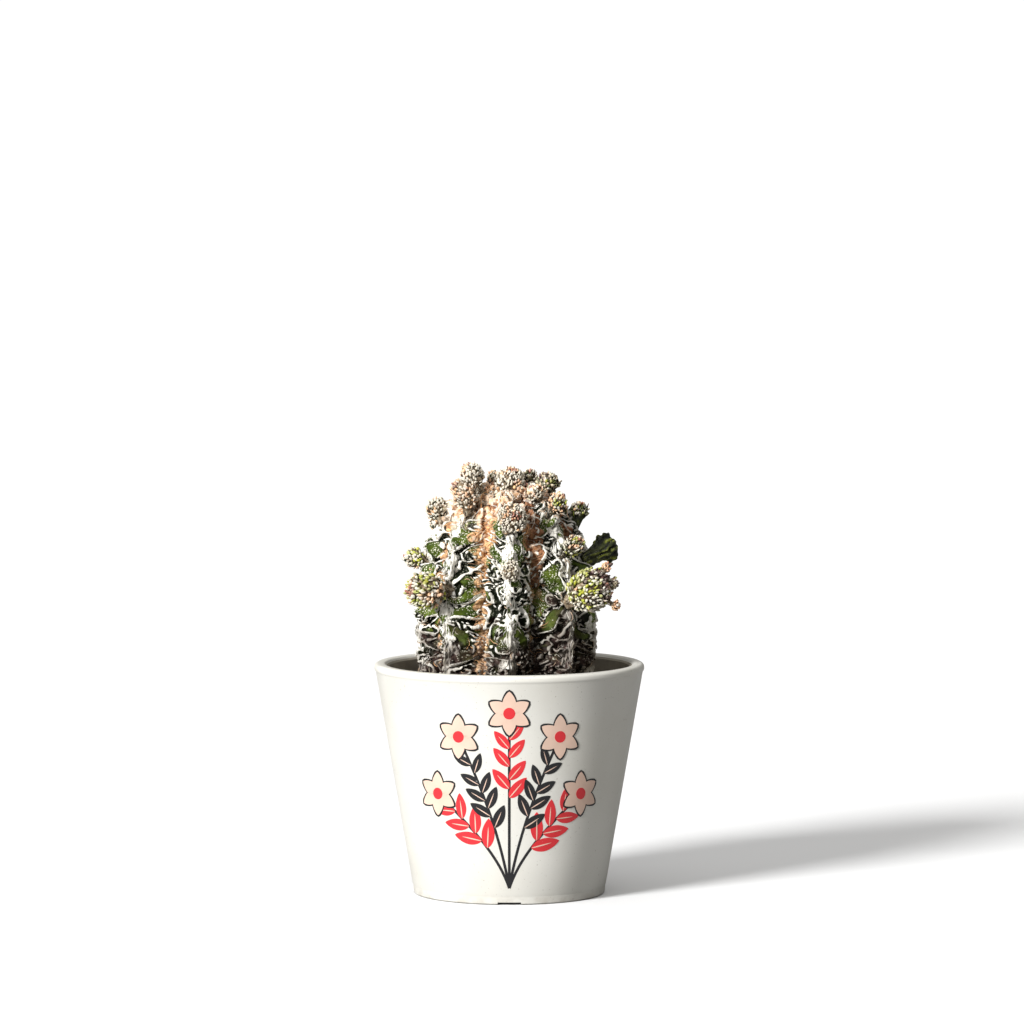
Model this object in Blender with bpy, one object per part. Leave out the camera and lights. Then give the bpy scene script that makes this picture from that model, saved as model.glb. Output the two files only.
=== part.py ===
"""A potted astrophytum: a ribbed, folded cactus with scaly offsets, in a tapered stoneware pot.

Metres, +Z up. The origin is the centre of the pot's foot, on the surface it stands on, and -Y is
the front. Sizes are named in millimetres and turned into metres by MM where a mesh is made.
"""

import math
import random

import bmesh
import bpy
import numpy as np
from mathutils import Matrix, Vector

MM = 0.001
WELD = 1e-6
GAP = 0.35  # the running gap between neighbours that touch on the real thing

# The pot
POT_HEIGHT = 94.2
POT_LIP_R = 55.0
POT_FOOT_R = 39.2
POT_SEGMENTS = 48
BEAD_HEIGHT = 2.9  # the band round the top of the lip
BEAD_STEP = 0.6  # how far the band stands out of the wall
LIP_WIDTH = 5.4
LIP_ROUND_OUT = 1.6  # rounding of the lip's outer edge
LIP_ROUND_IN = 0.8
WALL = 3.4
FLOOR_UNDER = 2.3  # underside of the floor, above the surface the foot stands on
FLOOR_TOP = 6.2
FLOOR_COVE = 4.0  # height of the slope between the inside wall and the floor
COVE_WIDTH = 2.5
FOOT_WIDTH = 4.2
FOOT_EDGE = 0.9  # how far the foot is turned in at the bottom
FOOT_BAND = 3.7  # height of the band at the base
BAND_STEP = 0.3
DRAIN_R = 6.0
DRAIN_EDGE = 0.6
NOTCH_WIDTH = 9.4
NOTCH_HEIGHT = 1.1

# The grit that fills the pot
SOIL_TOP = 79.5
SOIL_SEGMENTS = 40
GRAIN_RINGS = 4
GRAIN_INNER_R = 26.0
GRAIN_RISE = (0.5, 1.3)

# The net that keeps the grit out of the drain hole
NET_R = 12.5
NET_THICK = 1.0
NET_HOLE = 3.0
NET_PITCH = 5.2

# The cactus
RIBS = 8
RIB_TURN = 1.5  # degrees from the front to the first rib's crest, anticlockwise seen from above
BODY_X = -1.2
BODY_R = 36.0
BODY_WAIST_Z = 97.0
BODY_TOP_Z = 165.5
BODY_ROOT_Z = 61.0
BODY_UPPER_POWER = 2.8
BODY_LOWER_POWER = 1.8
FURROW = 0.36  # depth of a furrow as a share of the radius
FURROW_SHARP = 0.42  # how much of that comes close to the furrow's floor
FACE_STOPS = (0.0, 0.2, 0.48, 0.78, 1.0)  # columns from a crest to a furrow
HOLLOW_STOPS = (0.0, 0.39, 0.75, 1.0)  # the same for the hollow in the grit
HOLLOW_OVER = 5.0  # how far the hollow's cutter stands out of the grit
BURIED_FURROW = 0.55  # depth of the furrows under the grit as a share of that above
CREST_WANDER = 1.3  # degrees that a crest strays to each side
WANDER_PITCH = 33.0
WANDER_FADE = 20.0
ROW_STEP = 2.25
BURIED_ROW_STEP = 6.5
FOLD_PITCH = 9.0
FOLD_HEIGHT = 3.6
FOLD_SINK = 0.35  # share of that by which the valleys lie under the plain face
FOLD_FADE = (82.5, 91.0)  # folds start above the grit and are full from here up
CREST_CORD = 0.7  # height of the cord of wool along a crest, and of the areoles on it
CREST_KNOB = 1.0
CROWN_FADE = 22.0  # folds and furrows are slighter within this length of the crown
SOCKET_DEPTH = 2.8

# Offsets that the front shows: rib, height of the root on its crest, centre of the head, radius.
OFFSETS = (
    ("offset_top_left_rear", 7, 163.6, (-15.2, -7.4, 171.2), 4.6),
    ("offset_top_left", 7, 157.5, (-18.2, -18.8, 165.4), 5.0),
    ("offset_left_shoulder", 6, 152.5, (-29.6, 0.6, 157.0), 4.1),
    ("offset_left_high", 6, 135.5, (-38.6, 0.0, 136.8), 3.9),
    ("offset_left_large", 7, 126.0, (-33.8, -29.6, 126.2), 6.8),
    ("offset_front_high", 0, 151.0, (1.4, -30.6, 155.4), 5.6),
    ("offset_front_mid", 0, 133.5, (0.2, -36.4, 134.8), 3.7),
    ("offset_crown", 0, 165.0, (0.2, -2.6, 167.6), 5.8),
    ("offset_crown_right", 3, 163.8, (8.4, 7.6, 169.4), 3.0),
    ("offset_crown_left", 5, 163.8, (-6.6, 5.6, 169.9), 2.6),
    ("offset_right_top", 2, 162.0, (15.9, 1.0, 167.4), 4.2),
    ("offset_right_front_top", 1, 156.0, (19.6, -18.6, 160.8), 3.6),
    ("offset_right_shoulder", 2, 150.5, (28.2, 2.6, 155.2), 3.9),
    ("offset_right_front", 1, 140.0, (26.2, -25.4, 144.2), 3.7),
    ("offset_right_funnel", 2, 136.5, (38.8, 5.2, 140.4), 6.1),
    ("offset_right_large", 1, 121.5, (32.4, -27.6, 126.2), 8.0),
    ("offset_crown_front", 1, 161.2, (10.6, -13.6, 164.4), 3.2),
)
# These are bare and ribbed like seedlings; the others are scaly.
RIBBED = ("offset_right_shoulder", "offset_right_funnel")
# Small heads that grow from the large right offset: centre and radius.
BABIES = (((38.4, -28.4, 135.2), 2.0), ((42.4, -29.6, 120.4), 2.4), ((41.2, -25.0, 128.6), 2.6))
# Ribs behind carry theirs by a rule: this many each, between these heights.
REAR_RIBS = (3, 4, 5)
REAR_PER_RIB = 2
REAR_BAND = (116.0, 156.0)
REAR_RADIUS = (3.9, 5.6)
REAR_SIDEWAYS = 0.3  # most that they lean to a side, and least and most upwards, against out
REAR_UPWARDS = (0.25, 0.6)
REAR_STAND = (0.85, 1.1)  # distance of the head's centre from its crest, in radii
BABY_REACH = 0.45  # share of the way to the large offset's centre that their necks go in
NECK_SHARE = 0.42  # neck radius as a share of the head's
HEAD_START = math.radians(150)  # where the neck meets the head, measured from its tip
HEAD_STRETCH = 1.45  # most that the lower half is drawn out towards the root
HEAD_END = math.radians(14)
SCALE_RISE = 0.17  # height of a scale as a share of the head's radius
SCALE_SLANT = 0.35  # how far a scale's point leans to the tip, as a share of its height
YOUNG_RIBS = 7  # on a bare offset
YOUNG_GROOVE = 0.2
# Its (radius, height) above the neck, both as shares of the head's radius
YOUNG_SHAPE = ((0.66, -0.7), (1.0, 0.1), (0.98, 0.38), (0.68, 0.68), (0.3, 0.76))
YOUNG_TIP = 0.7

SEED = 11


def clear_scene():
    for obj in list(bpy.data.objects):
        bpy.data.objects.remove(obj)


def material(name, colour, roughness):
    mat = bpy.data.materials.new(name)
    mat.use_nodes = True
    shader = mat.node_tree.nodes["Principled BSDF"]
    shader.inputs["Base Color"].default_value = (*colour, 1.0)
    shader.inputs["Roughness"].default_value = roughness
    shader.inputs["Metallic"].default_value = 0.0
    return mat


def object_from(name, bm, mat, sharp=40):
    """Turns a bmesh into a named object, faces out and shaded smooth."""
    bmesh.ops.recalc_face_normals(bm, faces=bm.faces)
    mesh = bpy.data.meshes.new(name)
    bm.to_mesh(mesh)
    bm.free()
    mesh.shade_smooth()
    mesh.set_sharp_from_angle(angle=math.radians(sharp))
    obj = bpy.data.objects.new(name, mesh)
    bpy.context.scene.collection.objects.link(obj)
    if mat:
        mesh.materials.append(mat)
    return obj


def cutter_collection(name):
    group = bpy.data.collections.new(name)
    bpy.context.scene.collection.children.link(group)
    return group


def as_cutter(obj, group):
    obj.hide_render = True
    obj.display_type = "WIRE"
    bpy.context.scene.collection.objects.unlink(obj)
    group.objects.link(obj)


def cut(obj, group):
    modifier = obj.modifiers.new("cut_" + group.name, "BOOLEAN")
    modifier.operation = "DIFFERENCE"
    modifier.operand_type = "COLLECTION"
    modifier.collection = group


def lathe(profile, segments):
    """A bmesh turned about +Z from (radius, height) points in mm.

    The points are a closed loop, or an open run with both ends on the axis.
    """
    bm = bmesh.new()
    verts = [bm.verts.new((r * MM, 0, z * MM)) for r, z in profile]
    edges = [bm.edges.new(pair) for pair in zip(verts, verts[1:])]
    if profile[0][0] > 0:
        edges.append(bm.edges.new((verts[-1], verts[0])))
    bmesh.ops.spin(
        bm,
        geom=verts + edges,
        cent=(0, 0, 0),
        axis=(0, 0, 1),
        angle=math.tau,
        steps=segments,
        use_merge=True,
    )
    bmesh.ops.remove_doubles(bm, verts=bm.verts, dist=WELD)
    return bm


def box(name, size, centre, turn=0.0):
    bm = bmesh.new()
    bmesh.ops.create_cube(bm, size=1.0)
    place = Matrix.Rotation(turn, 4, "Z") @ Matrix.Translation(Vector(centre) * MM)
    stretch = Matrix.Diagonal((*(side * MM for side in size), 1.0))
    bmesh.ops.transform(bm, matrix=place @ stretch, verts=bm.verts)
    return object_from(name, bm, None)


def circle(bm, around, radius, z, turn=0.0):
    """A ring of vertices about +Z; the radius is one number, or one for each vertex."""
    radii = [radius] * around if isinstance(radius, float) else radius
    angles = [turn + math.tau * i / around for i in range(around)]
    return [
        bm.verts.new((r * math.cos(a) * MM, r * math.sin(a) * MM, z * MM))
        for r, a in zip(radii, angles)
    ]


def stack(bm, rings):
    """Joins rings of equal length one to the next with quads."""
    for low, high in zip(rings, rings[1:]):
        for a, b, c, d in zip(low, low[1:] + low[:1], high[1:] + high[:1], high):
            bm.faces.new((a, b, c, d))


def fan(bm, ring, point):
    """Closes a ring with triangles to a point in mm."""
    tip = bm.verts.new(Vector(point) * MM)
    for a, b in zip(ring, ring[1:] + ring[:1]):
        bm.faces.new((a, b, tip))


def inner_wall_r(z):
    """Radius of the pot's inside wall at height z."""
    low = POT_FOOT_R - WALL
    high = POT_LIP_R - LIP_WIDTH
    return low + (high - low) * (z - FLOOR_TOP) / (POT_HEIGHT - FLOOR_TOP)


def pot(mat):
    """A tapered pot with a banded lip, a foot ring, a drain hole and four drain notches."""
    wall_r = POT_LIP_R - BEAD_STEP
    top = POT_HEIGHT
    under_bead = top - BEAD_HEIGHT
    foot_out = POT_FOOT_R - FOOT_EDGE
    foot_in = foot_out - FOOT_WIDTH
    cove = FLOOR_TOP + FLOOR_COVE
    profile = [
        (foot_out, 0.0),
        (POT_FOOT_R - 0.25 * FOOT_EDGE, 0.75 * FOOT_EDGE),
        (POT_FOOT_R, FOOT_BAND - BAND_STEP),
        (POT_FOOT_R + BAND_STEP, FOOT_BAND + BAND_STEP),
        (wall_r, under_bead - BEAD_STEP),
        (POT_LIP_R, under_bead + BEAD_STEP),
        (POT_LIP_R, top - LIP_ROUND_OUT),
        (POT_LIP_R - 0.3 * LIP_ROUND_OUT, top - 0.3 * LIP_ROUND_OUT),
        (POT_LIP_R - LIP_ROUND_OUT, top),
        (inner_wall_r(top) + LIP_ROUND_IN, top),
        (inner_wall_r(top - LIP_ROUND_IN), top - LIP_ROUND_IN),
        (inner_wall_r(cove), cove),
        (inner_wall_r(FLOOR_TOP) - COVE_WIDTH, FLOOR_TOP),
        (DRAIN_R + DRAIN_EDGE, FLOOR_TOP),
        (DRAIN_R, FLOOR_TOP - DRAIN_EDGE),
        (DRAIN_R, FLOOR_UNDER),
        (foot_in, FLOOR_UNDER),
        (foot_in, 0.0),
    ]
    body = object_from("pot", lathe(profile, POT_SEGMENTS), mat)
    notches = cutter_collection("notches")
    size = (NOTCH_WIDTH, 4 * FOOT_WIDTH, 2 * NOTCH_HEIGHT)
    for k in range(4):
        centre = (0, -POT_FOOT_R, 0)
        as_cutter(box(f"notch_{k}", size, centre, k * math.pi / 2), notches)
    cut(body, notches)
    return body


def soil_profile():
    rim_r = inner_wall_r(SOIL_TOP) - GAP
    floor = FLOOR_TOP + GAP
    over_net = floor + NET_THICK + GAP
    cove = FLOOR_TOP + FLOOR_COVE
    run = [
        (0.0, over_net),
        (NET_R + 2 * GAP, over_net),
        (NET_R + 2 * GAP, floor),
        (inner_wall_r(FLOOR_TOP) - COVE_WIDTH - GAP, floor),
        (inner_wall_r(cove) - GAP, cove),
    ]
    step = (rim_r - GRAIN_INNER_R) / GRAIN_RINGS
    run += [(rim_r - k * step, SOIL_TOP) for k in range(GRAIN_RINGS + 1)]
    run.append((0.0, SOIL_TOP))
    return run


def soil(mat, rng):
    """Grit that fills the pot, with a grainy top and a hollow that fits the cactus's base."""
    bm = lathe(soil_profile(), SOIL_SEGMENTS)
    grains = [
        face
        for face in bm.faces
        if all(v.co.z > (SOIL_TOP - 0.1) * MM for v in face.verts)
        and all(v.co.xy.length > (GRAIN_INNER_R - 0.1) * MM for v in face.verts)
    ]
    bmesh.ops.recalc_face_normals(bm, faces=bm.faces)
    peaks = bmesh.ops.poke(bm, faces=grains, center_mode="MEAN_WEIGHTED")["verts"]
    for v in peaks:
        v.co.z += rng.uniform(*GRAIN_RISE) * MM
    body = object_from("soil", bm, mat, sharp=20)
    hollow = cutter_collection("soil_hollow")
    shape = cactus_mesh(SOIL_TOP + HOLLOW_OVER, grow=GAP, folded=False)
    as_cutter(object_from("cactus_base", shape, None), hollow)
    cut(body, hollow)
    return body


def drain_net(mat):
    """A plastic net over the drain hole, on the pot's floor."""
    low = FLOOR_TOP + GAP
    profile = [(0, low), (NET_R, low), (NET_R, low + NET_THICK), (0, low + NET_THICK)]
    body = object_from("drain_net", lathe(profile, 12), mat)
    holes = cutter_collection("net_holes")
    size = (NET_HOLE, NET_HOLE, 4 * NET_THICK)
    for i in range(-2, 3):
        for k in range(-2, 3):
            x, y = i * NET_PITCH, k * NET_PITCH
            if math.hypot(x, y) + NET_HOLE < NET_R:
                as_cutter(box(f"net_hole_{i}_{k}", size, (x, y, low)), holes)
    cut(body, holes)
    return body


def body_curve():
    """The crest line's (radius, height) points from the root to the crown, closely spaced."""
    turn = np.linspace(0, math.pi / 2, 400)
    down, up = 2 / BODY_LOWER_POWER, 2 / BODY_UPPER_POWER
    low_r = BODY_R * np.cos(turn[::-1]) ** down
    low_z = BODY_WAIST_Z - (BODY_WAIST_Z - BODY_ROOT_Z) * np.sin(turn[::-1]) ** down
    high_r = BODY_R * np.cos(turn[1:]) ** up
    high_z = BODY_WAIST_Z + (BODY_TOP_Z - BODY_WAIST_Z) * np.sin(turn[1:]) ** up
    return np.concatenate([low_r, high_r]), np.concatenate([low_z, high_z])


def body_rows(top_z):
    """Rows of the cactus as (radius, height, outward r, outward z, arc length from the crown)."""
    r, z = body_curve()
    arc = np.concatenate([[0], np.cumsum(np.hypot(np.diff(r), np.diff(z)))])
    out_r = np.gradient(z, arc)
    out_z = -np.gradient(r, arc)
    length = np.hypot(out_r, out_z)
    ground, end = np.interp((FOLD_FADE[0], top_z), z, arc)
    buried = np.linspace(0, ground, round(ground / BURIED_ROW_STEP) + 1)[1:]
    shown = np.linspace(ground, end, round((end - ground) / ROW_STEP) + 1)[1:]
    if top_z == BODY_TOP_Z:
        shown = shown[:-1]
    columns = (r, z, out_r / length, out_z / length, arc[-1] - arc)
    return [[np.interp(at, arc, c) for c in columns] for at in (*buried, *shown)]


def face_waves(seed):
    """Each face of each rib gets its own lean and drift of the folds."""
    rng = random.Random(seed)
    return [
        {
            "lean": rng.choice((-1, 1)) * rng.uniform(0.45, 1.15),
            "phase": rng.uniform(0, 1),
            "drift": rng.uniform(0.1, 0.22),
            "beat": rng.uniform(17, 29),
            "start": rng.uniform(0, math.tau),
        }
        for _ in range(2 * RIBS)
    ]


def fold_height(wave, s, along):
    """Height of the folds on a face, s from crest to furrow and along from the crown, in mm."""
    drift = wave["drift"] * math.sin(math.tau * along / wave["beat"] + wave["start"])
    phase = along / FOLD_PITCH + wave["lean"] * s + wave["phase"] + drift
    ridge = (0.5 + 0.5 * math.cos(math.tau * phase)) ** 2
    across = abs(math.sin(math.pi * s)) ** 0.5
    return FOLD_HEIGHT * across * (ridge - FOLD_SINK)


def crest_knob(rib, s, along):
    """The cord along a crest, with swellings where the areoles sit."""
    ripple = max(0.0, math.cos(math.tau * (along / FOLD_PITCH + 0.37 * rib)))
    return (CREST_CORD + CREST_KNOB * ripple) * max(0.0, 1 - 5 * s)


def wander(rib, z):
    """How far a crest strays from its place at height z, as an angle."""
    fade = min(1.0, max(0.0, z - FOLD_FADE[0]) / WANDER_FADE, (BODY_TOP_Z - z) / WANDER_FADE)
    return fade * math.radians(CREST_WANDER) * math.sin(math.tau * z / WANDER_PITCH + 1.9 * rib)


def rib_share(s):
    """Share of the furrow's depth at s from crest to furrow."""
    return (1 - FURROW_SHARP) * s + FURROW_SHARP * s**3


def face_turn(s, depth, half):
    """How far a rib's face is turned from the radial direction at s from crest to furrow."""
    fall = depth * ((1 - FURROW_SHARP) + 3 * FURROW_SHARP * s**2)
    return abs(math.sin(math.pi * s)) ** 0.3 * math.atan2(fall, half * (1 - depth * rib_share(s)))


def rib_azimuth(rib, z):
    """Direction of a rib's crest about +Z, from +X, at height z."""
    return math.radians(-90 + RIB_TURN + 360 / RIBS * rib) + wander(rib, z)


def cactus_mesh(top_z, grow=0.0, folded=True):
    """The ribbed body as a closed bmesh, up to top_z, its surface moved outwards by grow."""
    bm = bmesh.new()
    waves = face_waves(SEED)
    rings = []
    half = math.pi / RIBS
    stops = FACE_STOPS if folded else HOLLOW_STOPS
    for radius, z, out_r, out_z, along in body_rows(top_z):
        fade = min(1.0, max(0.0, (z - FOLD_FADE[0]) / (FOLD_FADE[1] - FOLD_FADE[0])))
        fade *= min(1.0, 0.25 + along / CROWN_FADE)
        depth = FURROW * (BURIED_FURROW + (1 - BURIED_FURROW) * fade)
        ring = []
        for rib in range(RIBS):
            columns = [(-s, 2 * rib) for s in stops[:0:-1]]
            columns += [(s, 2 * rib + 1) for s in stops[:-1]]
            for side, face in columns:
                s = abs(side)
                r = radius * (1 - depth * rib_share(s))
                rise = grow
                if folded:
                    rise += fade * fold_height(waves[face], s, along)
                    rise += fade * crest_knob(rib, s, along)
                angle = rib_azimuth(rib, z) * (1 - s) + rib_azimuth(rib, 0) * s + side * half
                facing = angle + math.copysign(face_turn(s, depth, half), side)
                x = BODY_X + r * math.cos(angle) + rise * out_r * math.cos(facing)
                y = r * math.sin(angle) + rise * out_r * math.sin(facing)
                ring.append(bm.verts.new((x * MM, y * MM, (z + rise * out_z) * MM)))
        rings.append(ring)
    stack(bm, rings)
    fan(bm, rings[0], (BODY_X, 0, BODY_ROOT_Z - grow))
    fan(bm, rings[-1], (BODY_X, 0, top_z))
    bmesh.ops.recalc_face_normals(bm, faces=bm.faces)
    return bm


def crest_point(rib, z):
    """The point on a rib's crest at height z, without its knobs, in mm."""
    r, heights = body_curve()
    radius = np.interp(z, heights, r)
    angle = rib_azimuth(rib, z)
    return Vector((BODY_X + radius * math.cos(angle), radius * math.sin(angle), z))


def head_lattice(radius):
    """How many scales go round a head, and how many rows there are, by its size."""
    if radius > 7:
        return 11, 7
    if radius > 4.8:
        return 10, 6
    if radius > 3:
        return 8, 5
    return 7, 4


def head_stretch(radius, reach):
    """How far the lower half of a head is drawn out, by how far the head stands off its rib."""
    return min(HEAD_STRETCH, max(1.0, 0.95 * (reach - SOCKET_DEPTH) / radius))


def head_point(radius, polar, stretch):
    """The (radius, height) of a head's surface at an angle from its tip."""
    z = radius * math.cos(polar)
    return radius * math.sin(polar), z * (stretch if z < 0 else 1.0)


def head_mesh(radius, reach):
    """An offset about its own +Z: centre of the head at 0, foot of the neck at -reach, in mm.

    Diamonds in rows that are half a step apart, each raised to a point, make the scales.
    """
    around, rows = head_lattice(radius)
    stretch = head_stretch(radius, reach)
    bm = bmesh.new()
    rings = []
    for k in range(rows + 1):
        polar = HEAD_START + (HEAD_END - HEAD_START) * k / rows
        r, z = head_point(radius, polar, stretch)
        rings.append(circle(bm, around, r, z, turn=(k % 2) * math.pi / around))
    diamonds = []
    for k in range(1, rows + 1):
        for i in range(around):
            left, right = rings[k][i], rings[k][(i + 1) % around]
            below = (i + k % 2) % around
            corners = [left, rings[k - 1][below], right]
            if k < rows:
                diamonds.append(bm.faces.new((*corners, rings[k + 1][below])))
            else:
                bm.faces.new(corners)
    for i in range(around):
        bm.faces.new((rings[0][i], rings[0][(i + 1) % around], rings[1][i]))
    fan(bm, rings[-1], (0, 0, radius))
    neck = circle(bm, around, radius * NECK_SHARE, -reach)
    stack(bm, [neck, rings[0]])
    fan(bm, neck, (0, 0, -reach))
    bmesh.ops.recalc_face_normals(bm, faces=bm.faces)
    peaks = bmesh.ops.poke(bm, faces=diamonds, center_mode="MEAN")["verts"]
    rise = radius * SCALE_RISE * MM
    for v in peaks:
        out = v.co.normalized()
        v.co += out * rise + Vector((0, 0, rise * SCALE_SLANT))
    return bm


def young_mesh(radius, reach):
    """A bare offset about its own +Z: a cone that opens into a low ribbed dome, in mm."""
    bm = bmesh.new()
    around = 2 * YOUNG_RIBS
    rings = [circle(bm, around, radius * NECK_SHARE, -reach)]
    for share, height in YOUNG_SHAPE:
        grooved = [radius * share * (1 - YOUNG_GROOVE * (i % 2)) for i in range(around)]
        rings.append(circle(bm, around, grooved, radius * height))
    stack(bm, rings)
    fan(bm, rings[0], (0, 0, -reach))
    fan(bm, rings[-1], (0, 0, radius * YOUNG_TIP))
    bmesh.ops.recalc_face_normals(bm, faces=bm.faces)
    return bm


def stand(bm, root, centre):
    """Turns a head from its own axis to the line from root to centre, in mm."""
    aim = (centre - root).to_track_quat("Z", "Y").to_matrix().to_4x4()
    bmesh.ops.transform(bm, matrix=Matrix.Translation(centre * MM) @ aim, verts=bm.verts)
    return bm


def socket(name, root, centre, radius, group):
    """The room that an offset needs in the body: its own outline, grown by the gap."""
    reach = (centre - root).length + SOCKET_DEPTH
    stretch = head_stretch(radius, reach)
    neck_r = radius * NECK_SHARE + GAP
    full_r = radius * (1 + SCALE_RISE) + 1.5 * GAP
    profile = [(0.0, -reach - GAP), (neck_r, -reach - GAP)]
    for k in range(6):
        profile.append(head_point(full_r, HEAD_START * (1 - k / 6), stretch))
    profile.append((0.0, full_r + SCALE_RISE * radius))
    bm = stand(lathe(profile, 10), root, centre)
    as_cutter(object_from(name, bm, None), group)


def rear_offsets(rng):
    """Offsets on the ribs that the front hides, one pair to a rib at random heights."""
    found = []
    low, high = REAR_BAND
    for rib in REAR_RIBS:
        for k in range(REAR_PER_RIB):
            share = (k + rng.uniform(0.25, 0.75)) / REAR_PER_RIB
            z = low + (high - low) * share
            radius = rng.uniform(*REAR_RADIUS)
            root = crest_point(rib, z)
            out = Vector((root.x - BODY_X, root.y, 0)).normalized()
            side = Vector((-out.y, out.x, 0)) * rng.uniform(-REAR_SIDEWAYS, REAR_SIDEWAYS)
            aim = (out + side + Vector((0, 0, rng.uniform(*REAR_UPWARDS)))).normalized()
            centre = root + aim * radius * rng.uniform(*REAR_STAND)
            found.append((f"offset_rear_{rib}_{k + 1}", rib, z, tuple(centre), radius))
    return found


def add_babies(obj, parent_centre):
    """Joins the small heads of the large offset to it."""
    group = cutter_collection("babies")
    for k, (centre, radius) in enumerate(BABIES):
        centre = Vector(centre)
        reach = (centre - parent_centre).length * BABY_REACH
        bm = stand(head_mesh(radius, reach), parent_centre, centre)
        as_cutter(object_from(f"baby_{k + 1}", bm, None), group)
    join = obj.modifiers.new("join_babies", "BOOLEAN")
    join.operation = "UNION"
    join.operand_type = "COLLECTION"
    join.collection = group
    with bpy.context.temp_override(object=obj, active_object=obj):
        bpy.ops.object.modifier_apply(modifier=join.name)
    for baby in list(group.objects):
        bpy.data.objects.remove(baby)
    bpy.data.collections.remove(group)


def cactus(skin, flock, rng):
    """The body, and each offset seated in a socket on its rib's crest."""
    body = object_from("cactus_body", cactus_mesh(BODY_TOP_Z), skin, sharp=60)
    sockets = cutter_collection("sockets")
    for name, rib, root_z, centre, radius in (*OFFSETS, *rear_offsets(rng)):
        root, centre = crest_point(rib, root_z), Vector(centre)
        reach = (centre - root).length + SOCKET_DEPTH
        ribbed = name in RIBBED
        shape = (young_mesh if ribbed else head_mesh)(radius, reach)
        head = object_from(name, stand(shape, root, centre), skin if ribbed else flock, sharp=25)
        socket("socket_" + name, root, centre, radius, sockets)
        if name == "offset_right_large":
            add_babies(head, centre)
    cut(body, sockets)


def main():
    clear_scene()
    rng = random.Random(SEED)
    pot(material("stoneware", (0.76, 0.73, 0.67), 0.55))
    drain_net(material("net_plastic", (0.05, 0.05, 0.05), 0.6))
    soil(material("grit", (0.16, 0.12, 0.09), 0.95), rng)
    skin = material("cactus_skin", (0.16, 0.23, 0.07), 0.6)
    flock = material("offset_flock", (0.55, 0.52, 0.38), 0.9)
    cactus(skin, flock, rng)


main()
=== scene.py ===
"""The looks of the potted astrophytum: glazed pot, printed spray, grit, folded flesh, wool and heads."""

import math
import random

import bpy
import numpy as np
from mathutils import Matrix, Vector
from mathutils.bvhtree import BVHTree


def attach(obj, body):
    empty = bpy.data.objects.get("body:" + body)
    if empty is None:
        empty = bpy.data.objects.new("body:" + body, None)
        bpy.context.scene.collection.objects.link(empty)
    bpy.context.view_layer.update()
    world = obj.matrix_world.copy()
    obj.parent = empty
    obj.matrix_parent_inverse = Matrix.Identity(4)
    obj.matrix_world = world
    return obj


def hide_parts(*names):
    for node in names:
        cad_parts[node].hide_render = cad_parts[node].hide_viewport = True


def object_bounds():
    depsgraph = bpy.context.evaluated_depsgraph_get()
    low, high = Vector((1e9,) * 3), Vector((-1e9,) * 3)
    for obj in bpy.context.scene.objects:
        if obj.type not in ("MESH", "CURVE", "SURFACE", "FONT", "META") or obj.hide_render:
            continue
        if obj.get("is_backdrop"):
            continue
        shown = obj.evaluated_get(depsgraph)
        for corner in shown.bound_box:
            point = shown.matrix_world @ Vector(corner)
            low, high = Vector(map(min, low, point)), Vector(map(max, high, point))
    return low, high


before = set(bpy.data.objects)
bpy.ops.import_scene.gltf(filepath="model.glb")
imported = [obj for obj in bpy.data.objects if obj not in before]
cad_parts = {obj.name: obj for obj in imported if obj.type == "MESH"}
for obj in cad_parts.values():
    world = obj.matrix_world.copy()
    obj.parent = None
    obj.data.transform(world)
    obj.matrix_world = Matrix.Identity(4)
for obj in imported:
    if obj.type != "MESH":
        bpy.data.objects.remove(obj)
cad_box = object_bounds()


# The pot: pale stoneware with a satin glaze, a banded lip and a foot ring that four drain notches
# cross. It is turned from its outline like the clay was, and its inside is darker: partly stain from
# the grit, partly painted shade, and darker still towards the grit.
MM = 0.001
WELD = 0.000001
POT_SIDES = 256
WALL_FOOT, WALL_TOP = (39.5, 4.0), (54.4, 90.7)
POT_OUTLINE = (
    (34.1, 0.0), (37.9, 0.0), (38.5, 0.15), (38.9, 0.55), (39.05, 1.2), (39.2, 3.3), (39.3, 3.6),
    WALL_FOOT, (42.0, 18.55), (46.0, 41.82), (50.0, 65.1), WALL_TOP, (54.62, 91.15), (54.92, 91.6),
    (55.0, 92.0), (55.0, 92.8), (54.86, 93.35), (54.5, 93.8), (54.0, 94.1), (53.4, 94.2),
    (51.4, 94.2), (50.8, 94.08), (50.4, 93.78), (50.0, 93.2), (49.33, 92.5), (43.0, 52.1),
    (36.43, 10.2), (35.5, 8.2), (33.9, 6.2), (6.6, 6.2), (6.0, 5.6), (6.0, 2.9), (6.6, 2.3),
    (34.1, 2.3), (34.1, 0.0),
)  # fmt: skip
NOTCH_WIDTH, NOTCH_HEIGHT = 9.4, 1.1
INSIDE_FROM, RIM_FROM = 8, 93.4
GLAZE_PALE, GLAZE_WARM = (0.80, 0.785, 0.725), (0.74, 0.72, 0.65)
GLAZE_SPECK = (0.30, 0.25, 0.18)
INSIDE_STAIN_AND_SHADE, INSIDE_DEEPER_STAIN_AND_SHADE = (0.40, 0.36, 0.29), (0.15, 0.12, 0.09)


def started(add, **given):
    """Adds a primitive, with everything else deselected first."""
    bpy.ops.object.select_all(action="DESELECT")
    add(**given)
    return bpy.context.object


def work_on(*pieces):
    """Selects these pieces alone and makes the first the active one."""
    bpy.ops.object.select_all(action="DESELECT")
    for piece in pieces:
        piece.select_set(True)
    bpy.context.view_layer.objects.active = pieces[0]


def edit(piece, all_selected=True):
    """Opens a piece in edit mode."""
    work_on(piece)
    bpy.ops.object.mode_set(mode="EDIT")
    bpy.ops.mesh.select_all(action="SELECT" if all_selected else "DESELECT")


def leave():
    bpy.ops.object.mode_set(mode="OBJECT")


def turned_out():
    """Turns every face of the edited piece outward and leaves edit mode."""
    bpy.ops.mesh.select_all(action="SELECT")
    bpy.ops.mesh.normals_make_consistent(inside=False)
    leave()


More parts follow.
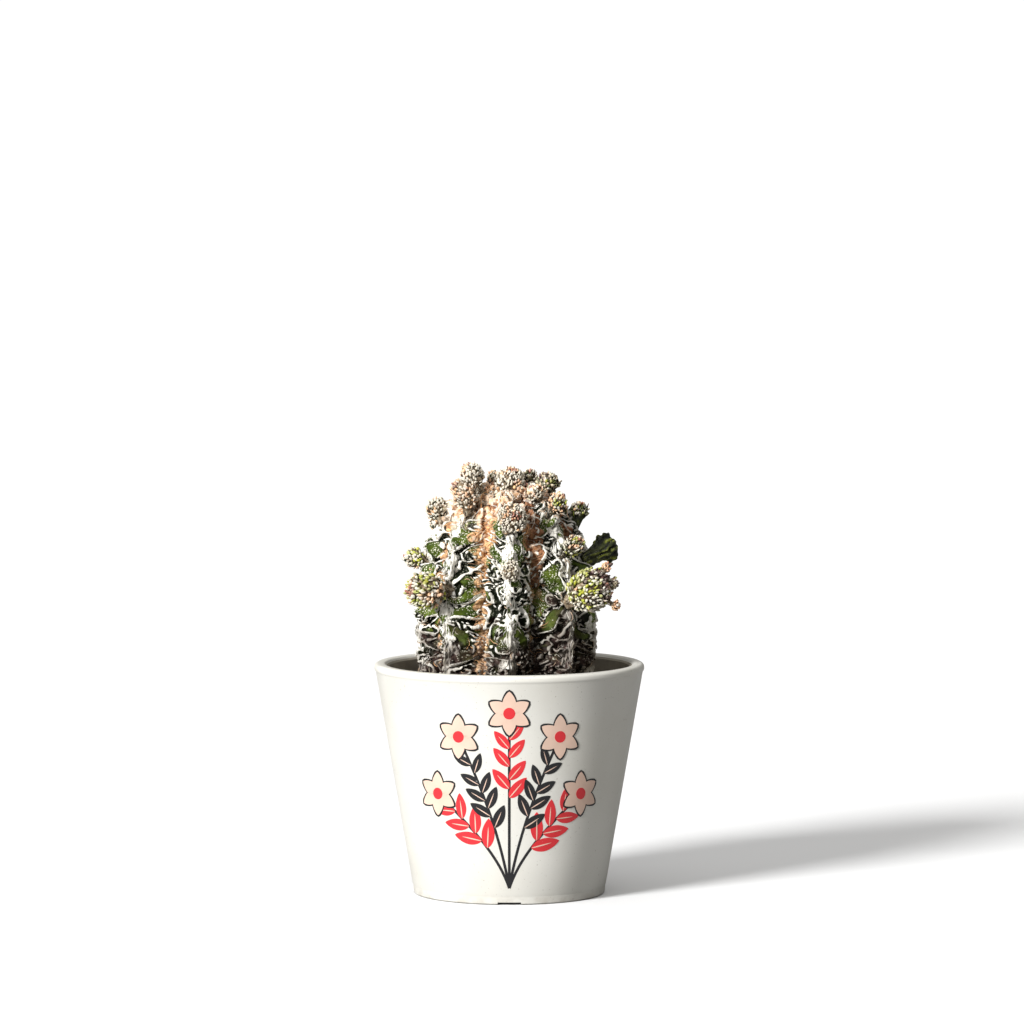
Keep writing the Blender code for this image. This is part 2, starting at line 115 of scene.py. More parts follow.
def drawn_out(move, grow, **about):
    """Extrudes what is selected and makes its new end wider or narrower."""
    bpy.ops.mesh.extrude_region_move(TRANSFORM_OT_translate={"value": move})
    bpy.ops.transform.resize(value=(grow, grow, 1), **about)


def coated(piece, *materials):
    """Gives a piece these materials in place of any that it has."""
    piece.data.materials.clear()
    for material in materials:
        piece.data.materials.append(material)


def turned(name, outline, sides):
    """Turns a piece from its outline: a ring drawn up and out from point to point."""
    (radius, height), *rest = outline
    start = {"radius": radius * MM, "location": (0, 0, height * MM)}
    piece = started(bpy.ops.mesh.primitive_circle_add, vertices=sides, **start)
    piece.name = piece.data.name = name
    bpy.ops.object.transform_apply()
    edit(piece)
    for r, z in rest:
        drawn_out((0, 0, (z - height) * MM), r / radius, center_override=(0, 0, z * MM))
        radius, height = r, z
    bpy.ops.mesh.select_all(action="SELECT")
    bpy.ops.mesh.remove_doubles(threshold=WELD)
    turned_out()
    return piece


def finish(name, roughness, specular=0.5):
    """A new material with the values that are the same all over it, and its nodes."""
    material = bpy.data.materials.new(name)
    material.use_nodes = True
    shader = material.node_tree.nodes["Principled BSDF"]
    shader.inputs["Roughness"].default_value = roughness
    shader.inputs["Specular IOR Level"].default_value = specular
    return material, material.node_tree


def mixed_in(tree, kind, values, **settings):
    """Adds a shader node; each value is a number, a colour or another node's socket."""
    node = tree.nodes.new("ShaderNode" + kind)
    for key, value in settings.items():
        setattr(node, key, value)
    for key, value in values.items():
        if isinstance(value, bpy.types.NodeSocket):
            tree.links.new(value, node.inputs[key])
        else:
            node.inputs[key].default_value = value
    return node


def home(*values):
    """The shader tree of the first value that is another node's socket."""
    return next(value.id_data for value in values if isinstance(value, bpy.types.NodeSocket))


def overlaid(share, under, over):
    """One colour laid over another by a share."""
    pair = [(*c, 1.0) if isinstance(c, tuple) else c for c in (under, over)]
    values = {0: share, 6: pair[0], 7: pair[1]}
    return mixed_in(home(share, *pair), "Mix", values, data_type="RGBA").outputs[2]


def eased(value, low, high):
    """Runs smoothly from 0 at low to 1 at high."""
    values = {0: value, 1: low, 2: high}
    return mixed_in(home(value), "MapRange", values, interpolation_type="SMOOTHSTEP").outputs[0]


def reckoned(operation, a, b, c=0.0):
    return mixed_in(home(a, b, c), "Math", {0: a, 1: b, 2: c}, operation=operation).outputs[0]


def times(a, b):
    return reckoned("MULTIPLY", a, b)


def scaled(value, scale, rest):
    """A value times a scale, and the rest added."""
    return reckoned("MULTIPLY_ADD", value, scale, rest)


def greater(a, b):
    return reckoned("MAXIMUM", a, b)


def opposite(value):
    return reckoned("SUBTRACT", 1.0, value)


def place(tree):
    return mixed_in(tree, "TexCoord", {}).outputs["Object"]


def height_in(tree):
    return mixed_in(tree, "SeparateXYZ", {0: place(tree)}).outputs[2]


def grain(tree, size, detail=2.0):
    """Noise whose patches are about this many millimetres across."""
    values = {"Vector": place(tree), "Scale": 1 / (size * MM), "Detail": detail}
    return mixed_in(tree, "TexNoise", values).outputs[0]


def painted(material, colour, height, depth, strength=1.0, **more):
    """Gives a material its colour and its relief: a height from 0 to 1 and its depth in mm."""
    tree = material.node_tree
    values = {"Height": height, "Distance": depth * MM, "Strength": strength}
    more.update({"Base Color": colour, "Normal": mixed_in(tree, "Bump", values).outputs[0]})
    for socket, value in more.items():
        tree.links.new(value, tree.nodes["Principled BSDF"].inputs[socket])
    return material


def mottling():
    """The group that every finish here is clouded with: two colours in soft patches."""
    group = bpy.data.node_groups.new("mottling", "ShaderNodeTree")
    for name, kind in (("Dark", "Color"), ("Light", "Color"), ("Scale", "Float")):
        group.interface.new_socket(name, in_out="INPUT", socket_type="NodeSocket" + kind)
    group.interface.new_socket("Colour", in_out="OUTPUT", socket_type="NodeSocketColor")
    given = group.nodes.new("NodeGroupInput").outputs
    values = {"Vector": place(group), "Scale": given["Scale"], "Detail": 4.0}
    patches = eased(mixed_in(group, "TexNoise", values).outputs[0], 0.3, 0.7)
    colour = overlaid(patches, given["Dark"], given["Light"])
    group.links.new(colour, group.nodes.new("NodeGroupOutput").inputs["Colour"])
    return group


MOTTLING = mottling()


def clouded(tree, size, dark, light):
    """Two colours in soft patches this many millimetres across."""
    values = {"Dark": (*dark, 1.0), "Light": (*light, 1.0), "Scale": 1 / (size * MM)}
    return mixed_in(tree, "Group", values, node_tree=MOTTLING).outputs["Colour"]


def glaze():
    material, tree = finish("satin_glaze", 0.42)
    body = clouded(tree, 38, GLAZE_WARM, GLAZE_PALE)
    specks = eased(grain(tree, 0.9, 1.0), 0.70, 0.76)
    body = overlaid(times(specks, 0.35), body, GLAZE_SPECK)
    height = height_in(tree)
    # Darker in patches towards the foot.
    foot = opposite(eased(height, 0.0, 5.5 * MM))
    foot_darkening = times(foot, eased(grain(tree, 6), 0.35, 0.7))
    body = overlaid(times(foot_darkening, 0.35), body, GLAZE_SPECK)
    sheen = mixed_in(tree, "MapRange", {0: grain(tree, 9), 1: 0.3, 2: 0.7, 3: 0.36, 4: 0.5})
    return painted(material, body, grain(tree, 1.6, 3.0), 0.02, 0.5, Roughness=sheen.outputs[0])


def stained_shaded_inside():
    material, tree = finish("stained_shaded_inside", 0.75)
    height = height_in(tree)
    ragged = scaled(grain(tree, 5, 4.0), 6 * MM, height)
    # The inside is dark all over and darker towards the grit: partly stain, partly painted shade.
    darker_down = opposite(eased(ragged, 81 * MM, 92 * MM))
    upper_inside = clouded(tree, 7, tuple(0.8 * c for c in INSIDE_STAIN_AND_SHADE), INSIDE_STAIN_AND_SHADE)
    colour = overlaid(times(darker_down, 0.85), upper_inside, INSIDE_DEEPER_STAIN_AND_SHADE)
    return painted(material, colour, grain(tree, 0.8, 4.0), 0.08)


pot = turned("glazed_pot", POT_OUTLINE, POT_SIDES)
for turn in (0, math.pi / 2):
    file = started(bpy.ops.mesh.primitive_cube_add, size=1, rotation=(0, 0, turn))
    file.scale = (NOTCH_WIDTH * MM, 2 * WALL_TOP[0] * MM, 2 * NOTCH_HEIGHT * MM)
    bpy.ops.object.transform_apply()
    cut = pot.modifiers.new("notch", "BOOLEAN")
    cut.object = file
    work_on(pot)
    bpy.ops.object.modifier_apply(modifier=cut.name)
    bpy.data.objects.remove(file)
coated(pot, glaze(), stained_shaded_inside())
for face in pot.data.polygons:
    across, up = face.center.xy, face.center.z
    inward = across.length > 20 * MM and across.dot(face.normal.xy) < 0
    face.material_index = int(inward and INSIDE_FROM * MM < up < RIM_FROM * MM)
work_on(pot)
bpy.ops.object.shade_smooth_by_angle(angle=math.radians(32))
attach(pot, "root")
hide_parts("pot")


# The print on the pot's front: a spray of leafy stems that fan out from its foot, with blossoms at
# their tips, in red, black and peach ink fired on the glaze. Each colour lies a hair over the last.
PRINT_CENTRE = 44.0
SPRAY_FOOT = (0.0, -37.0)
STEMS = (
    # tip, bend, leaf size, first leaf's distance from the foot, ink of the leaves
    ((-31.0, 1.0), (-6.0, -18.0), 1.05, 20.0, "red"),
    ((-21.0, 25.0), (-5.0, -7.0), 0.88, 27.0, "black"),
    ((0.0, 35.0), (0.0, 0.0), 0.98, 39.0, "red"),
    ((21.0, 25.0), (5.0, -7.0), 0.88, 27.0, "black"),
    ((31.0, 1.0), (6.0, -18.0), 1.05, 20.0, "red"),
)
STEM_STEPS, STEM_WIDTH = 40, 1.1
LEAF, LEAF_PITCH, LEAF_SLANT = (12.5, 5.4), 7.6, math.radians(40)
VEIN = (0.72, 0.5)
PETALS, PETAL, HEART_R = 6, (9.0, 5.4), 2.4
LINE = 0.5
INK_COLOURS = {
    "red": (0.78, 0.035, 0.045), "black": (0.018, 0.018, 0.02), "peach": (0.87, 0.62, 0.49)
}  # fmt: skip
INK_BED, INK_COAT = 0.05, 0.035


def ink(name, colour):
    material, tree = finish(name, 0.38)
    body = clouded(tree, 12, tuple(0.9 * c for c in colour), colour)
    worn = eased(grain(tree, 1.1, 3.0), 0.72, 0.78)
    body = overlaid(times(worn, 0.25), body, GLAZE_PALE)
    return painted(material, body, grain(tree, 0.7, 3.0), 0.01, 0.5)


def leaf_shape(length, width, edge=0.0):
    """A flat pointed leaf, its foot at the middle of the drawing and its tip up."""
    leaf = started(bpy.ops.mesh.primitive_grid_add, x_subdivisions=4, y_subdivisions=16, size=1)
    for v in leaf.data.vertices:
        along = v.co.y + 0.5
        swell = math.sin(math.pi * along**0.85) ** 0.75 if 0 < along < 1 else 0.0
        v.co.x *= (width * swell + 2 * edge * (swell > 0)) * MM
        v.co.y = (along * (length + 3 * edge) - 1.5 * edge) * MM
    return leaf


def stem_shape(points, width):
    """A flat ribbon along a line of points in the drawing."""
    cuts = {"x_subdivisions": 1, "y_subdivisions": len(points) - 1}
    ribbon = started(bpy.ops.mesh.primitive_grid_add, size=1, **cuts)
    rows = sorted({round(v.co.y, 5) for v in ribbon.data.vertices})
    for v in ribbon.data.vertices:
        k = rows.index(round(v.co.y, 5))
        here = Vector(points[k])
        ahead = Vector(points[min(k + 1, len(points) - 1)]) - Vector(points[max(k - 1, 0)])
        side = Vector((-ahead.y, ahead.x)).normalized()
        here += side * -2 * v.co.x * width / 2
        v.co = Vector((here.x * MM, here.y * MM, 0))
    return ribbon


def joined(name, shapes):
    """Joins shapes to one piece."""
    work_on(*shapes)
    bpy.ops.object.join()
    piece = bpy.context.object
    piece.name = piece.data.name = name
    return piece


def printed(name, coat, colour, shapes):
    """Joins flat shapes and lays them round the pot's wall, as this coat of ink over the last."""
    work_on(*shapes)
    bpy.ops.object.transform_apply()
    piece = joined("print_" + name, shapes)
    level = INK_BED + coat * INK_COAT
    (low_r, low_z), (high_r, high_z) = WALL_FOOT, WALL_TOP
    for v in piece.data.vertices:
        z = v.co.y / MM + PRINT_CENTRE
        r = low_r + (high_r - low_r) * (z - low_z) / (high_z - low_z) + level
        turn = v.co.x / MM / r - math.pi / 2
        v.co = Vector((r * math.cos(turn), r * math.sin(turn), z)) * MM
    edit(piece)
    bpy.ops.mesh.remove_doubles(threshold=WELD)
    turned_out()
    if sum(f.normal.xy.dot(f.center.xy) for f in piece.data.polygons) < 0:
        piece.data.flip_normals()
    layer = piece.modifiers.new("coat", "SOLIDIFY")
    layer.thickness = INK_COAT * MM * 3
    bpy.ops.object.modifier_apply(modifier=layer.name)
    coated(piece, INKS[colour])
    bpy.ops.object.shade_smooth_by_angle(angle=math.radians(30))
    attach(piece, "root")


def stem_line(tip, bend):
    """Points from the spray's foot to a stem's tip, drawn towards its bend on the way."""
    foot, bend, tip = Vector(SPRAY_FOOT), Vector(bend), Vector(tip)
    steps = np.linspace(0, 1, STEM_STEPS)
    return [foot * (1 - s) ** 2 + bend * 2 * s * (1 - s) + tip * s * s for s in steps]


def leaves_on(line, share, until, vein=False):
    """Leaves in turn on both sides of a stem, smaller towards its tip, or the veins in them."""
    gone, side = 0.0, 1
    length = sum((q - p).length for p, q in zip(line, line[1:]))
    for p, q in zip(line, line[1:]):
        gone += (q - p).length
        if gone < until or gone > length - PETAL[0]:
            continue
        until += LEAF_PITCH / 2
        side = -side
        size = share * (1.1 - 0.4 * gone / length)
        long, wide = (LEAF[0] * VEIN[0], VEIN[1]) if vein else LEAF
        leaf = leaf_shape(long * size, wide * size)
        leaf.location = Vector((p.x, p.y, 0)) * MM
        leaf.rotation_euler.z = math.atan2((q - p).y, (q - p).x) - math.pi / 2 + side * LEAF_SLANT
        yield leaf


def petals_at(tip, edge=0.0):
    for k in range(PETALS):
        petal = leaf_shape(*PETAL, edge)
        petal.location = Vector((*tip, 0)) * MM
        petal.rotation_euler.z = math.tau * k / PETALS
        yield petal


def heart_at(tip):
    """The round heart of a blossom."""
    start = {"radius": HEART_R * MM, "location": (tip[0] * MM, tip[1] * MM, 0)}
    return started(bpy.ops.mesh.primitive_circle_add, vertices=24, fill_type="TRIFAN", **start)


INKS = {name: ink("ink_" + name, colour) for name, colour in INK_COLOURS.items()}
lines = [(stem_line(tip, bend), *rest) for tip, bend, *rest in STEMS]
tips = [tip for tip, *_ in STEMS]
printed("stems", 0, "black", [stem_shape(line, STEM_WIDTH) for line, *_ in lines])
for coat, colour in ((1, "red"), (2, "black")):
    stalks = [stalk for *stalk, its in lines if its == colour]
    leaves = [leaf for stalk in stalks for leaf in leaves_on(*stalk)]
    printed("leaves_" + colour, coat, colour, leaves)
veins = [vein for *stalk, _ in lines for vein in leaves_on(*stalk, vein=True)]
printed("veins", 3, "peach", veins)
edging = [petal for tip in tips for petal in petals_at(tip, LINE)]
printed("blossom_edges", 4, "black", edging)
printed("blossoms", 5, "peach", [petal for tip in tips for petal in petals_at(tip)])
printed("hearts", 6, "red", [heart_at(tip) for tip in tips])


# The drain net: a small black plastic disc with square holes that lies over the drain hole, under
# the grit. Its shape is the solid's own, so it only gets its finish.
NET_BLACK, NET_DUST = (0.02, 0.02, 0.02), (0.09, 0.08, 0.06)


def net_plastic():
    material, tree = finish("net_plastic", 0.55)
    dust = eased(grain(tree, 1.5, 3.0), 0.45, 0.7)
    return painted(material, overlaid(dust, NET_BLACK, NET_DUST), grain(tree, 0.5), 0.03)


coated(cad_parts["drain_net"], net_plastic())


# The grit: pumice, baked clay and lava crumbs poured round the cactus to below the lip. The bed
# under the top layer is the solid's own, and the loose stones are broken lumps dropped on it.
BED_TOP = 79.5
CLEAR_R = 47.0
BODY_X = -1.2
STONE_COUNT = 520
STONE_SIZE = (1.3, 3.6)
BED_DARK, BED_BROWN = (0.035, 0.026, 0.019), (0.12, 0.085, 0.06)
STONE_TINTS = ((0.33, 0.24, 0.15), (0.42, 0.38, 0.31), (0.15, 0.075, 0.05), (0.07, 0.06, 0.05))


def damp_bed():
    material, tree = finish("damp_bed", 0.95)
    colour = clouded(tree, 2.4, BED_DARK, BED_BROWN)
    return painted(material, colour, grain(tree, 1.2, 5.0), 0.5)


def tinted(tree, light):
    """The tint that each copy was given, and the same one at less light."""
    tint = mixed_in(tree, "Attribute", {}, attribute_name="tint").outputs["Color"]
    return tint, mixed_in(tree, "HueSaturation", {"Value": light, "Color": tint}).outputs[0]


def stone_finish():
    material, tree = finish("loose_stone", 0.9)
    tint, dark = tinted(tree, 0.45)
    pores = eased(grain(tree, 0.5, 3.0), 0.35, 0.6)
    return painted(material, overlaid(pores, dark, tint), pores, 0.12)


def copied(piece):
    """A copy of a piece with a mesh of its own."""
    copy = piece.copy()
    copy.data = piece.data.copy()
    bpy.context.scene.collection.objects.link(copy)
    return copy


def tint_all(piece, tint):
    """Gives every vertex of a piece this tint."""
    layer = piece.data.attributes["tint"].data
    layer.foreach_set("color", np.tile((*tint, 1.0), len(layer)).astype(np.float32))


def dropped(name, model, places):
    """Joins copies of a model to one piece: a place is a matrix, a tint and how white it is."""
    copies = []
    for matrix, tint, *white in places:
        copy = copied(model)
        copy.data.transform(matrix)
        tint_all(copy, tint)
        for value in white:
            layer = copy.data.attributes["flock"].data
            layer.foreach_set("value", np.full(len(layer), value, np.float32))
        copies.append(copy)
    return joined(name, copies)


def lump():
    """One broken stone, about 1 mm in radius."""
    stone = started(bpy.ops.mesh.primitive_cube_add, size=1.5 * MM)
    edit(stone)
    bpy.ops.mesh.subdivide(number_cuts=1, smoothness=0.6, fractal=0.35, seed=5)
    leave()
    stone.data.attributes.new("tint", "FLOAT_COLOR", "POINT")
    return stone


def nearest_tree(piece):
    return BVHTree.FromObject(piece, bpy.context.evaluated_depsgraph_get())


coated(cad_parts["soil"], damp_bed())
rng = random.Random(7)
stem_tree = nearest_tree(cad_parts["cactus_body"])
lump_model = lump()
stones = []
while len(stones) < STONE_COUNT:
    size = rng.uniform(*STONE_SIZE) / 2
    spread, turn = CLEAR_R * math.sqrt(rng.uniform(0.25, 1)), rng.uniform(0, math.tau)
    at = Vector((spread * math.cos(turn), spread * math.sin(turn), BED_TOP + 0.3 + 0.4 * size))
    if spread + size > CLEAR_R or stem_tree.find_nearest(at * MM)[3] < 0.8 * size * MM:
        continue
    tumbled = Matrix.Rotation(rng.uniform(0, math.tau), 4, Vector((rng.gauss(0, 1), 1, rng.gauss(0, 1))))
    squash = Matrix.Diagonal((size, size * rng.uniform(0.7, 1), size * rng.uniform(0.6, 0.9), 1))
    tint = rng.choices(STONE_TINTS, (5, 3, 3, 3))[0]
    light = rng.uniform(0.75, 1.2)
    tint = tuple(c * light * rng.uniform(0.95, 1.05) for c in tint)
    stones.append((Matrix.Translation(at * MM) @ tumbled @ squash, tint))
gravel = dropped("loose_grit", lump_model, stones)
bpy.data.objects.remove(lump_model)
coated(gravel, stone_finish())
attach(gravel, "root")


# The stem: eight swollen ribs of green flesh that has buckled into lobes and curly welts. White
# flock covers the welts and runs in cords down the crests, and the furrows are corky and rusty. Its
# hollows, creases and the side away from the key light are painted darker as shade, and a patch
# under the right large head is a painted shadow.
RIBS = 8
RIB_ARC, FIRST_CREST = math.tau / RIBS, math.radians(-88.5)
WANDER, WANDER_PITCH, WANDER_FADE = math.radians(1.3), 33.0, 20.0
STEM_R, STEM_TOP, STEM_CUT = 36.0, 165.5, 77.0
SKIN_CELL, SKIN_ROUNDS, CORNER_WELD = 0.42, 14, 0.00001
WELT_ALONG, WELT_SWING, SWING_PITCH = 20.0, 0.4, 17.0
WELT_FINE, WELT_BROAD, WELT_ROUNDS = 6, 13, 17
WELT_PACE, PACE_PITCH = (0.4, 1.0), 13.0
WELT_HEIGHT, WAIST = 1.4, 0.9
LOBE_PITCH, LOBE_HEIGHT, LOBE_STRETCH = 12.0, 2.1, 0.5
CORD_WIDTH, CORD_HEIGHT, CORD_STRAY = (1.4, 2.1), 0.9, 0.9
FURROW_EDGE, FURROW_BITE, FURROW_FILL = (0.77, 0.45), 0.24, 1.3
PLEATS, PLEAT_HEIGHT, PLEATS_FROM = 29, 0.75, (147.0, 154.0)
WRINKLE_HEIGHT, WRINKLE_PITCH, CREASE_HEIGHT = 0.5, 1.6, 0.28
SKIN_SPECK_AND_SHADE, SKIN_GREEN = (0.004, 0.006, 0.002), (0.045, 0.072, 0.008)
SKIN_YOUNG, SKIN_OLD = (0.100, 0.138, 0.014), (0.025, 0.022, 0.012)
SKIN_DOT = (0.74, 0.72, 0.57)
FLOCK_WHITE, FLOCK_GREY, FLOCK_SHADE = (0.97, 0.94, 0.86), (0.60, 0.55, 0.43), (0.46, 0.42, 0.33)
FLOCK_TAN, FLOCK_BARK_AND_SHADOW = (0.90, 0.56, 0.31), (0.24, 0.18, 0.14)
CORK_TOP, HEAD_SHADOW_AT, HEAD_SHADOW_SPREAD = (116, 90), (24.0, -24.0, 100.0), (9.0, 26.0)
# The side of the stem that the key light comes from.
KEY_LIGHT_SIDE = math.radians(-150)
RUST_DARK_AND_SHADE, RUST_BRIGHT = (0.24, 0.09, 0.04), (1.0, 0.62, 0.30)
CORK_AND_SHADOW_DARK, CORK_AND_SHADOW_PURPLE = (0.014, 0.009, 0.009), (0.075, 0.04, 0.034)


def drift(points, pitch, seed, waves=20):
    """A smooth random height at each point, with hills about this many millimetres apart."""
    rand = np.random.default_rng(seed)
    ways = rand.normal(size=(waves, 3))
    ways *= (math.tau / pitch * rand.uniform(0.6, 1.4, waves) / np.linalg.norm(ways, axis=1))[:, None]
    return np.sin(points @ ways.T + rand.uniform(0, math.tau, waves)).sum(1) / math.sqrt(waves / 2)


def smooth(x, low, high):
    x = np.clip((x - low) / (high - low), 0, 1)
    return x * x * (3 - 2 * x)


def between(ends, share):
    return ends[0] + (ends[1] - ends[0]) * share


def rows(parts, key):
    """A vector of each vertex or face, one to a row."""
    flat = np.empty(len(parts) * 3, np.float32)
    parts.foreach_get(key, flat)
    return flat.reshape(-1, 3).astype(float)


def vertices(piece):
    return rows(piece.data.vertices, "co") / MM


def moved_out(piece, points, rise):
    """Puts a piece's vertices at these points, each raised along its normal; all in mm."""
    points = points + rows(piece.data.vertices, "normal") * rise[:, None]
    piece.data.vertices.foreach_set("co", (points * MM).astype(np.float32).ravel())
    piece.data.shade_smooth()
    piece.data.update()


def taken(node, name):
    """A copy of a solid, with its faces joined at their corners, ready to be edited."""
    piece = copied(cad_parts[node])
    piece.name = piece.data.name = name
    edit(piece)
    bpy.ops.mesh.remove_doubles(threshold=CORNER_WELD)
    return piece


def regrown(piece, cell, rounds):
    """Gives an edited piece a skin of small even faces and rounds its edges off."""
    leave()
    piece.data.remesh_voxel_size = cell * MM
    bpy.ops.object.voxel_remesh()
    edit(piece)
    bpy.ops.mesh.vertices_smooth(factor=0.5, repeat=rounds)


def keep(piece, **measures):
    """Keeps a value for each vertex under each name, for the finish to read."""
    for key, values in measures.items():
        layer = piece.data.attributes.new(key, "FLOAT", "POINT")
        layer.data.foreach_set("value", values.astype(np.float32))


def rib_place(points):
    """For points in mm: the rib they are on, their side of its crest from -0.5 to 0.5, and radius."""
    x, y, z = points[:, 0] - BODY_X, points[:, 1], points[:, 2]
    turn = (np.arctan2(y, x) - FIRST_CREST) / RIB_ARC
    rib = np.round(turn)
    fade = np.clip(np.minimum((z - 82.5), (STEM_TOP - z)) / WANDER_FADE, 0, 1)
    stray = fade * WANDER * np.sin(math.tau * z / WANDER_PITCH + 1.9 * (rib % RIBS))
    side = turn - rib
    side -= stray / RIB_ARC * (1 - 2 * np.abs(side))
    return rib % RIBS, side, np.hypot(x, y)


def grown_welts(piece, points, across, pace, lift):
    """Welts as they form in skin that outgrows its room: ridges that thicken and push apart.

    Each round spreads the height a little way and takes off what has spread further, mostly
    along the lines that lead across a rib's face. It spreads along the edges of the faces and
    across their corners. A slow pace gives close welts, and a lift favours them. Returns
    heights from -1 to 1.
    """
    mesh = piece.data
    ends = np.empty(len(mesh.edges) * 2, np.int32)
    mesh.edges.foreach_get("vertices", ends)
    corners = np.empty(len(mesh.loops), np.int32)
    mesh.loops.foreach_get("vertex_index", corners)
    corners = corners.reshape(-1, 4)
    pairs = np.concatenate([ends.reshape(-1, 2), corners[:, ::2], corners[:, 1::2]])
    a, b = pairs.T
    way = points[b] - points[a]
    way /= np.linalg.norm(way, axis=1)[:, None]
    pull = 1 + WELT_ALONG * (way * (across[a] + across[b]) / 2).sum(1) ** 4
    count = len(points)
    total = np.bincount(a, pull, count) + np.bincount(b, pull, count)
    pull *= (pace[a] + pace[b]) / 2

    def spread(height, steps):
        for _ in range(steps):
            flow = pull * (height[b] - height[a])
            change = np.bincount(a, flow, count) - np.bincount(b, flow, count)
            height = height + 0.7 * change / total
        return height

    height = np.random.default_rng(4).normal(size=count)
    for _ in range(WELT_ROUNDS):
        near = spread(height, WELT_FINE)
        height = np.tanh(6 * (near - spread(near, WELT_BROAD)) + lift)
    return spread(height, 3)


stem = taken("cactus_body", "flesh")
bpy.ops.mesh.bisect(
    plane_co=(0, 0, STEM_CUT * MM), plane_no=(0, 0, 1), clear_inner=True, use_fill=True
)
regrown(stem, SKIN_CELL, SKIN_ROUNDS)
leave()

points = vertices(stem)
rib, side, radius = rib_place(points)
side = side + 0.018 * drift(points, 17, 12)
height = points[:, 2]
face = 2 * np.abs(side)
turn = np.arctan2(points[:, 1], points[:, 0] - BODY_X)
out = np.c_[np.cos(turn), np.sin(turn), np.zeros(len(turn))]
round_ = np.c_[-np.sin(turn), np.cos(turn), np.zeros(len(turn))] * np.sign(side)[:, None]
down_face = round_ - 0.9 * out
down_face /= np.linalg.norm(down_face, axis=1)[:, None]
swing = WELT_SWING * drift(points, SWING_PITCH, 1) + 0.5 * np.sin(rib * 2.4 + np.sign(side))
across = down_face * np.cos(swing)[:, None] + np.array([0, 0, 1.0]) * np.sin(swing)[:, None]

# Lobes lie across each face like cushions with creases between them, and each face has its lean.
lean = 0.9 * np.sin(rib * 2.4 + 1.3 * np.sign(side) + 0.4)
from_crest = face * RIB_ARC / 2 * STEM_R
lobe_at = np.c_[from_crest * LOBE_STRETCH, height + lean * from_crest, 40 * (2 * rib + (side > 0))]
lobe = np.abs(drift(lobe_at, LOBE_PITCH, 8))
rim = np.exp(-(((lobe - 0.5) / 0.12) ** 2))
calm = smooth(lobe, 0.61, 0.76) * smooth(drift(points, 11, 2), -0.75, -0.2)
calm *= smooth(height + 3 * drift(points, 9, 19), 95, 111)
pace = between(WELT_PACE, smooth(drift(points, PACE_PITCH, 9), -1.0, 1.0))
welt = grown_welts(stem, points, across, pace, 0.7 * rim - 0.9 * calm - 0.4)

cord_at = np.abs(side * RIB_ARC * radius + CORD_STRAY * drift(points, 8, 10))
cord_width = between(CORD_WIDTH, smooth(height, 138, 92)) * (1 + 0.35 * drift(points, 5, 3))
cord = np.exp(-((cord_at / cord_width) ** 2)) * smooth(height, 163, 152)
ridge = smooth(welt, -0.2, 0.8)
edge = between(FURROW_EDGE, smooth(height, 128, 160)) + FURROW_BITE * (ridge - 0.4)
furrow = smooth(face - edge + 0.05 * drift(points, 4, 11), 0.0, 0.2)
# How squarely each spot faces the key light; the finish paints light and shade by it.
sunlit = 0.5 + 0.5 * np.cos(turn - KEY_LIGHT_SIDE)
furrow *= 1 - 0.85 * smooth(height, 136, 116) * smooth(sunlit, 0.75, 0.5)
plain = (1 - calm) * (1 - cord)
wrinkle = np.sin(math.tau * height / WRINKLE_PITCH + 1.9 * drift(points, 6, 5))
rise = WELT_HEIGHT * (ridge - 0.4) * plain * (1 - 0.75 * furrow)
rise += LOBE_HEIGHT * (smooth(lobe, 0.0, 0.6) - 0.6) * (1 - cord) * (1 - furrow)
combed = points * np.array([1, 1, 0.22])
rise += cord * CORD_HEIGHT * (0.45 + 0.45 * drift(combed, 1.7, 6) + 0.2 * drift(points, 4, 14))
crease = np.abs(drift(points * np.array([1, 1, 1.6]), 2.2, 17))
rise += furrow * (FURROW_FILL + WRINKLE_HEIGHT * wrinkle + CREASE_HEIGHT * (crease - 1))
pleated = smooth(height, *PLEATS_FROM) * smooth(radius, 2.5, 8.0)
pleat = np.sin(PLEATS * turn + 2.2 * drift(points, 9, 18))
rise += pleated * PLEAT_HEIGHT * pleat
rise += 0.07 * drift(points, 1.3, 7) - WAIST * smooth(height, 122, 96)
rise *= smooth(height, STEM_CUT + 1, BED_TOP + 2)
# A patch under the right large head is darkened like the corky base: painted shadow of that head. The
# base below the cork line is corky for real.
spot = np.linalg.norm(points - np.array(HEAD_SHADOW_AT), axis=1) + 4 * drift(points, 12, 15)
cork = smooth(height + 6 * drift(points, 9, 16), *CORK_TOP)
cork = np.maximum(cork, smooth(spot, *HEAD_SHADOW_SPREAD[::-1]))
# The hollows between the welts and in the lobes' creases, kept so the finish can paint shade there.
hollow = np.maximum(1 - ridge, smooth(lobe, 0.35, 0.05)) * (1 - calm)
crease += pleated * (0.5 + 0.5 * pleat - crease)
keep(stem, welt=ridge * (1 - calm), cork=cork, crease=crease, sun=sunlit)
keep(stem, hollow=hollow, calm=calm, cord=cord, furrow=furrow)
moved_out(stem, points, rise)
flesh_tree = nearest_tree(stem)


def kept(tree, *keys):
    """The sockets of values that were kept for each vertex."""
    return [mixed_in(tree, "Attribute", {}, attribute_name=key).outputs["Fac"] for key in keys]


def frayed(value, size, amount, low, high):
    """A mask whose edge is torn by noise of this size."""
    torn = reckoned("SUBTRACT", grain(value.id_data, size, 4.0), 0.5)
    return eased(scaled(torn, amount, value), low, high)


def strands(tree, size, stretch):
    """Noise drawn out along the stem's height, like combed wool."""
    drawn = mixed_in(tree, "Mapping", {"Vector": place(tree), "Scale": (1.0, 1.0, stretch)})
    values = {"Vector": drawn.outputs[0], "Scale": 1 / (size * MM), "Detail": 3.0}
    return mixed_in(tree, "TexNoise", values).outputs[0]


def dotted(tree, size, inner, outer):
    """Round dots about this many millimetres apart."""
    cells = mixed_in(tree, "TexVoronoi", {"Vector": place(tree), "Scale": 1 / (size * MM)})
    return opposite(eased(cells.outputs["Distance"], inner, outer))


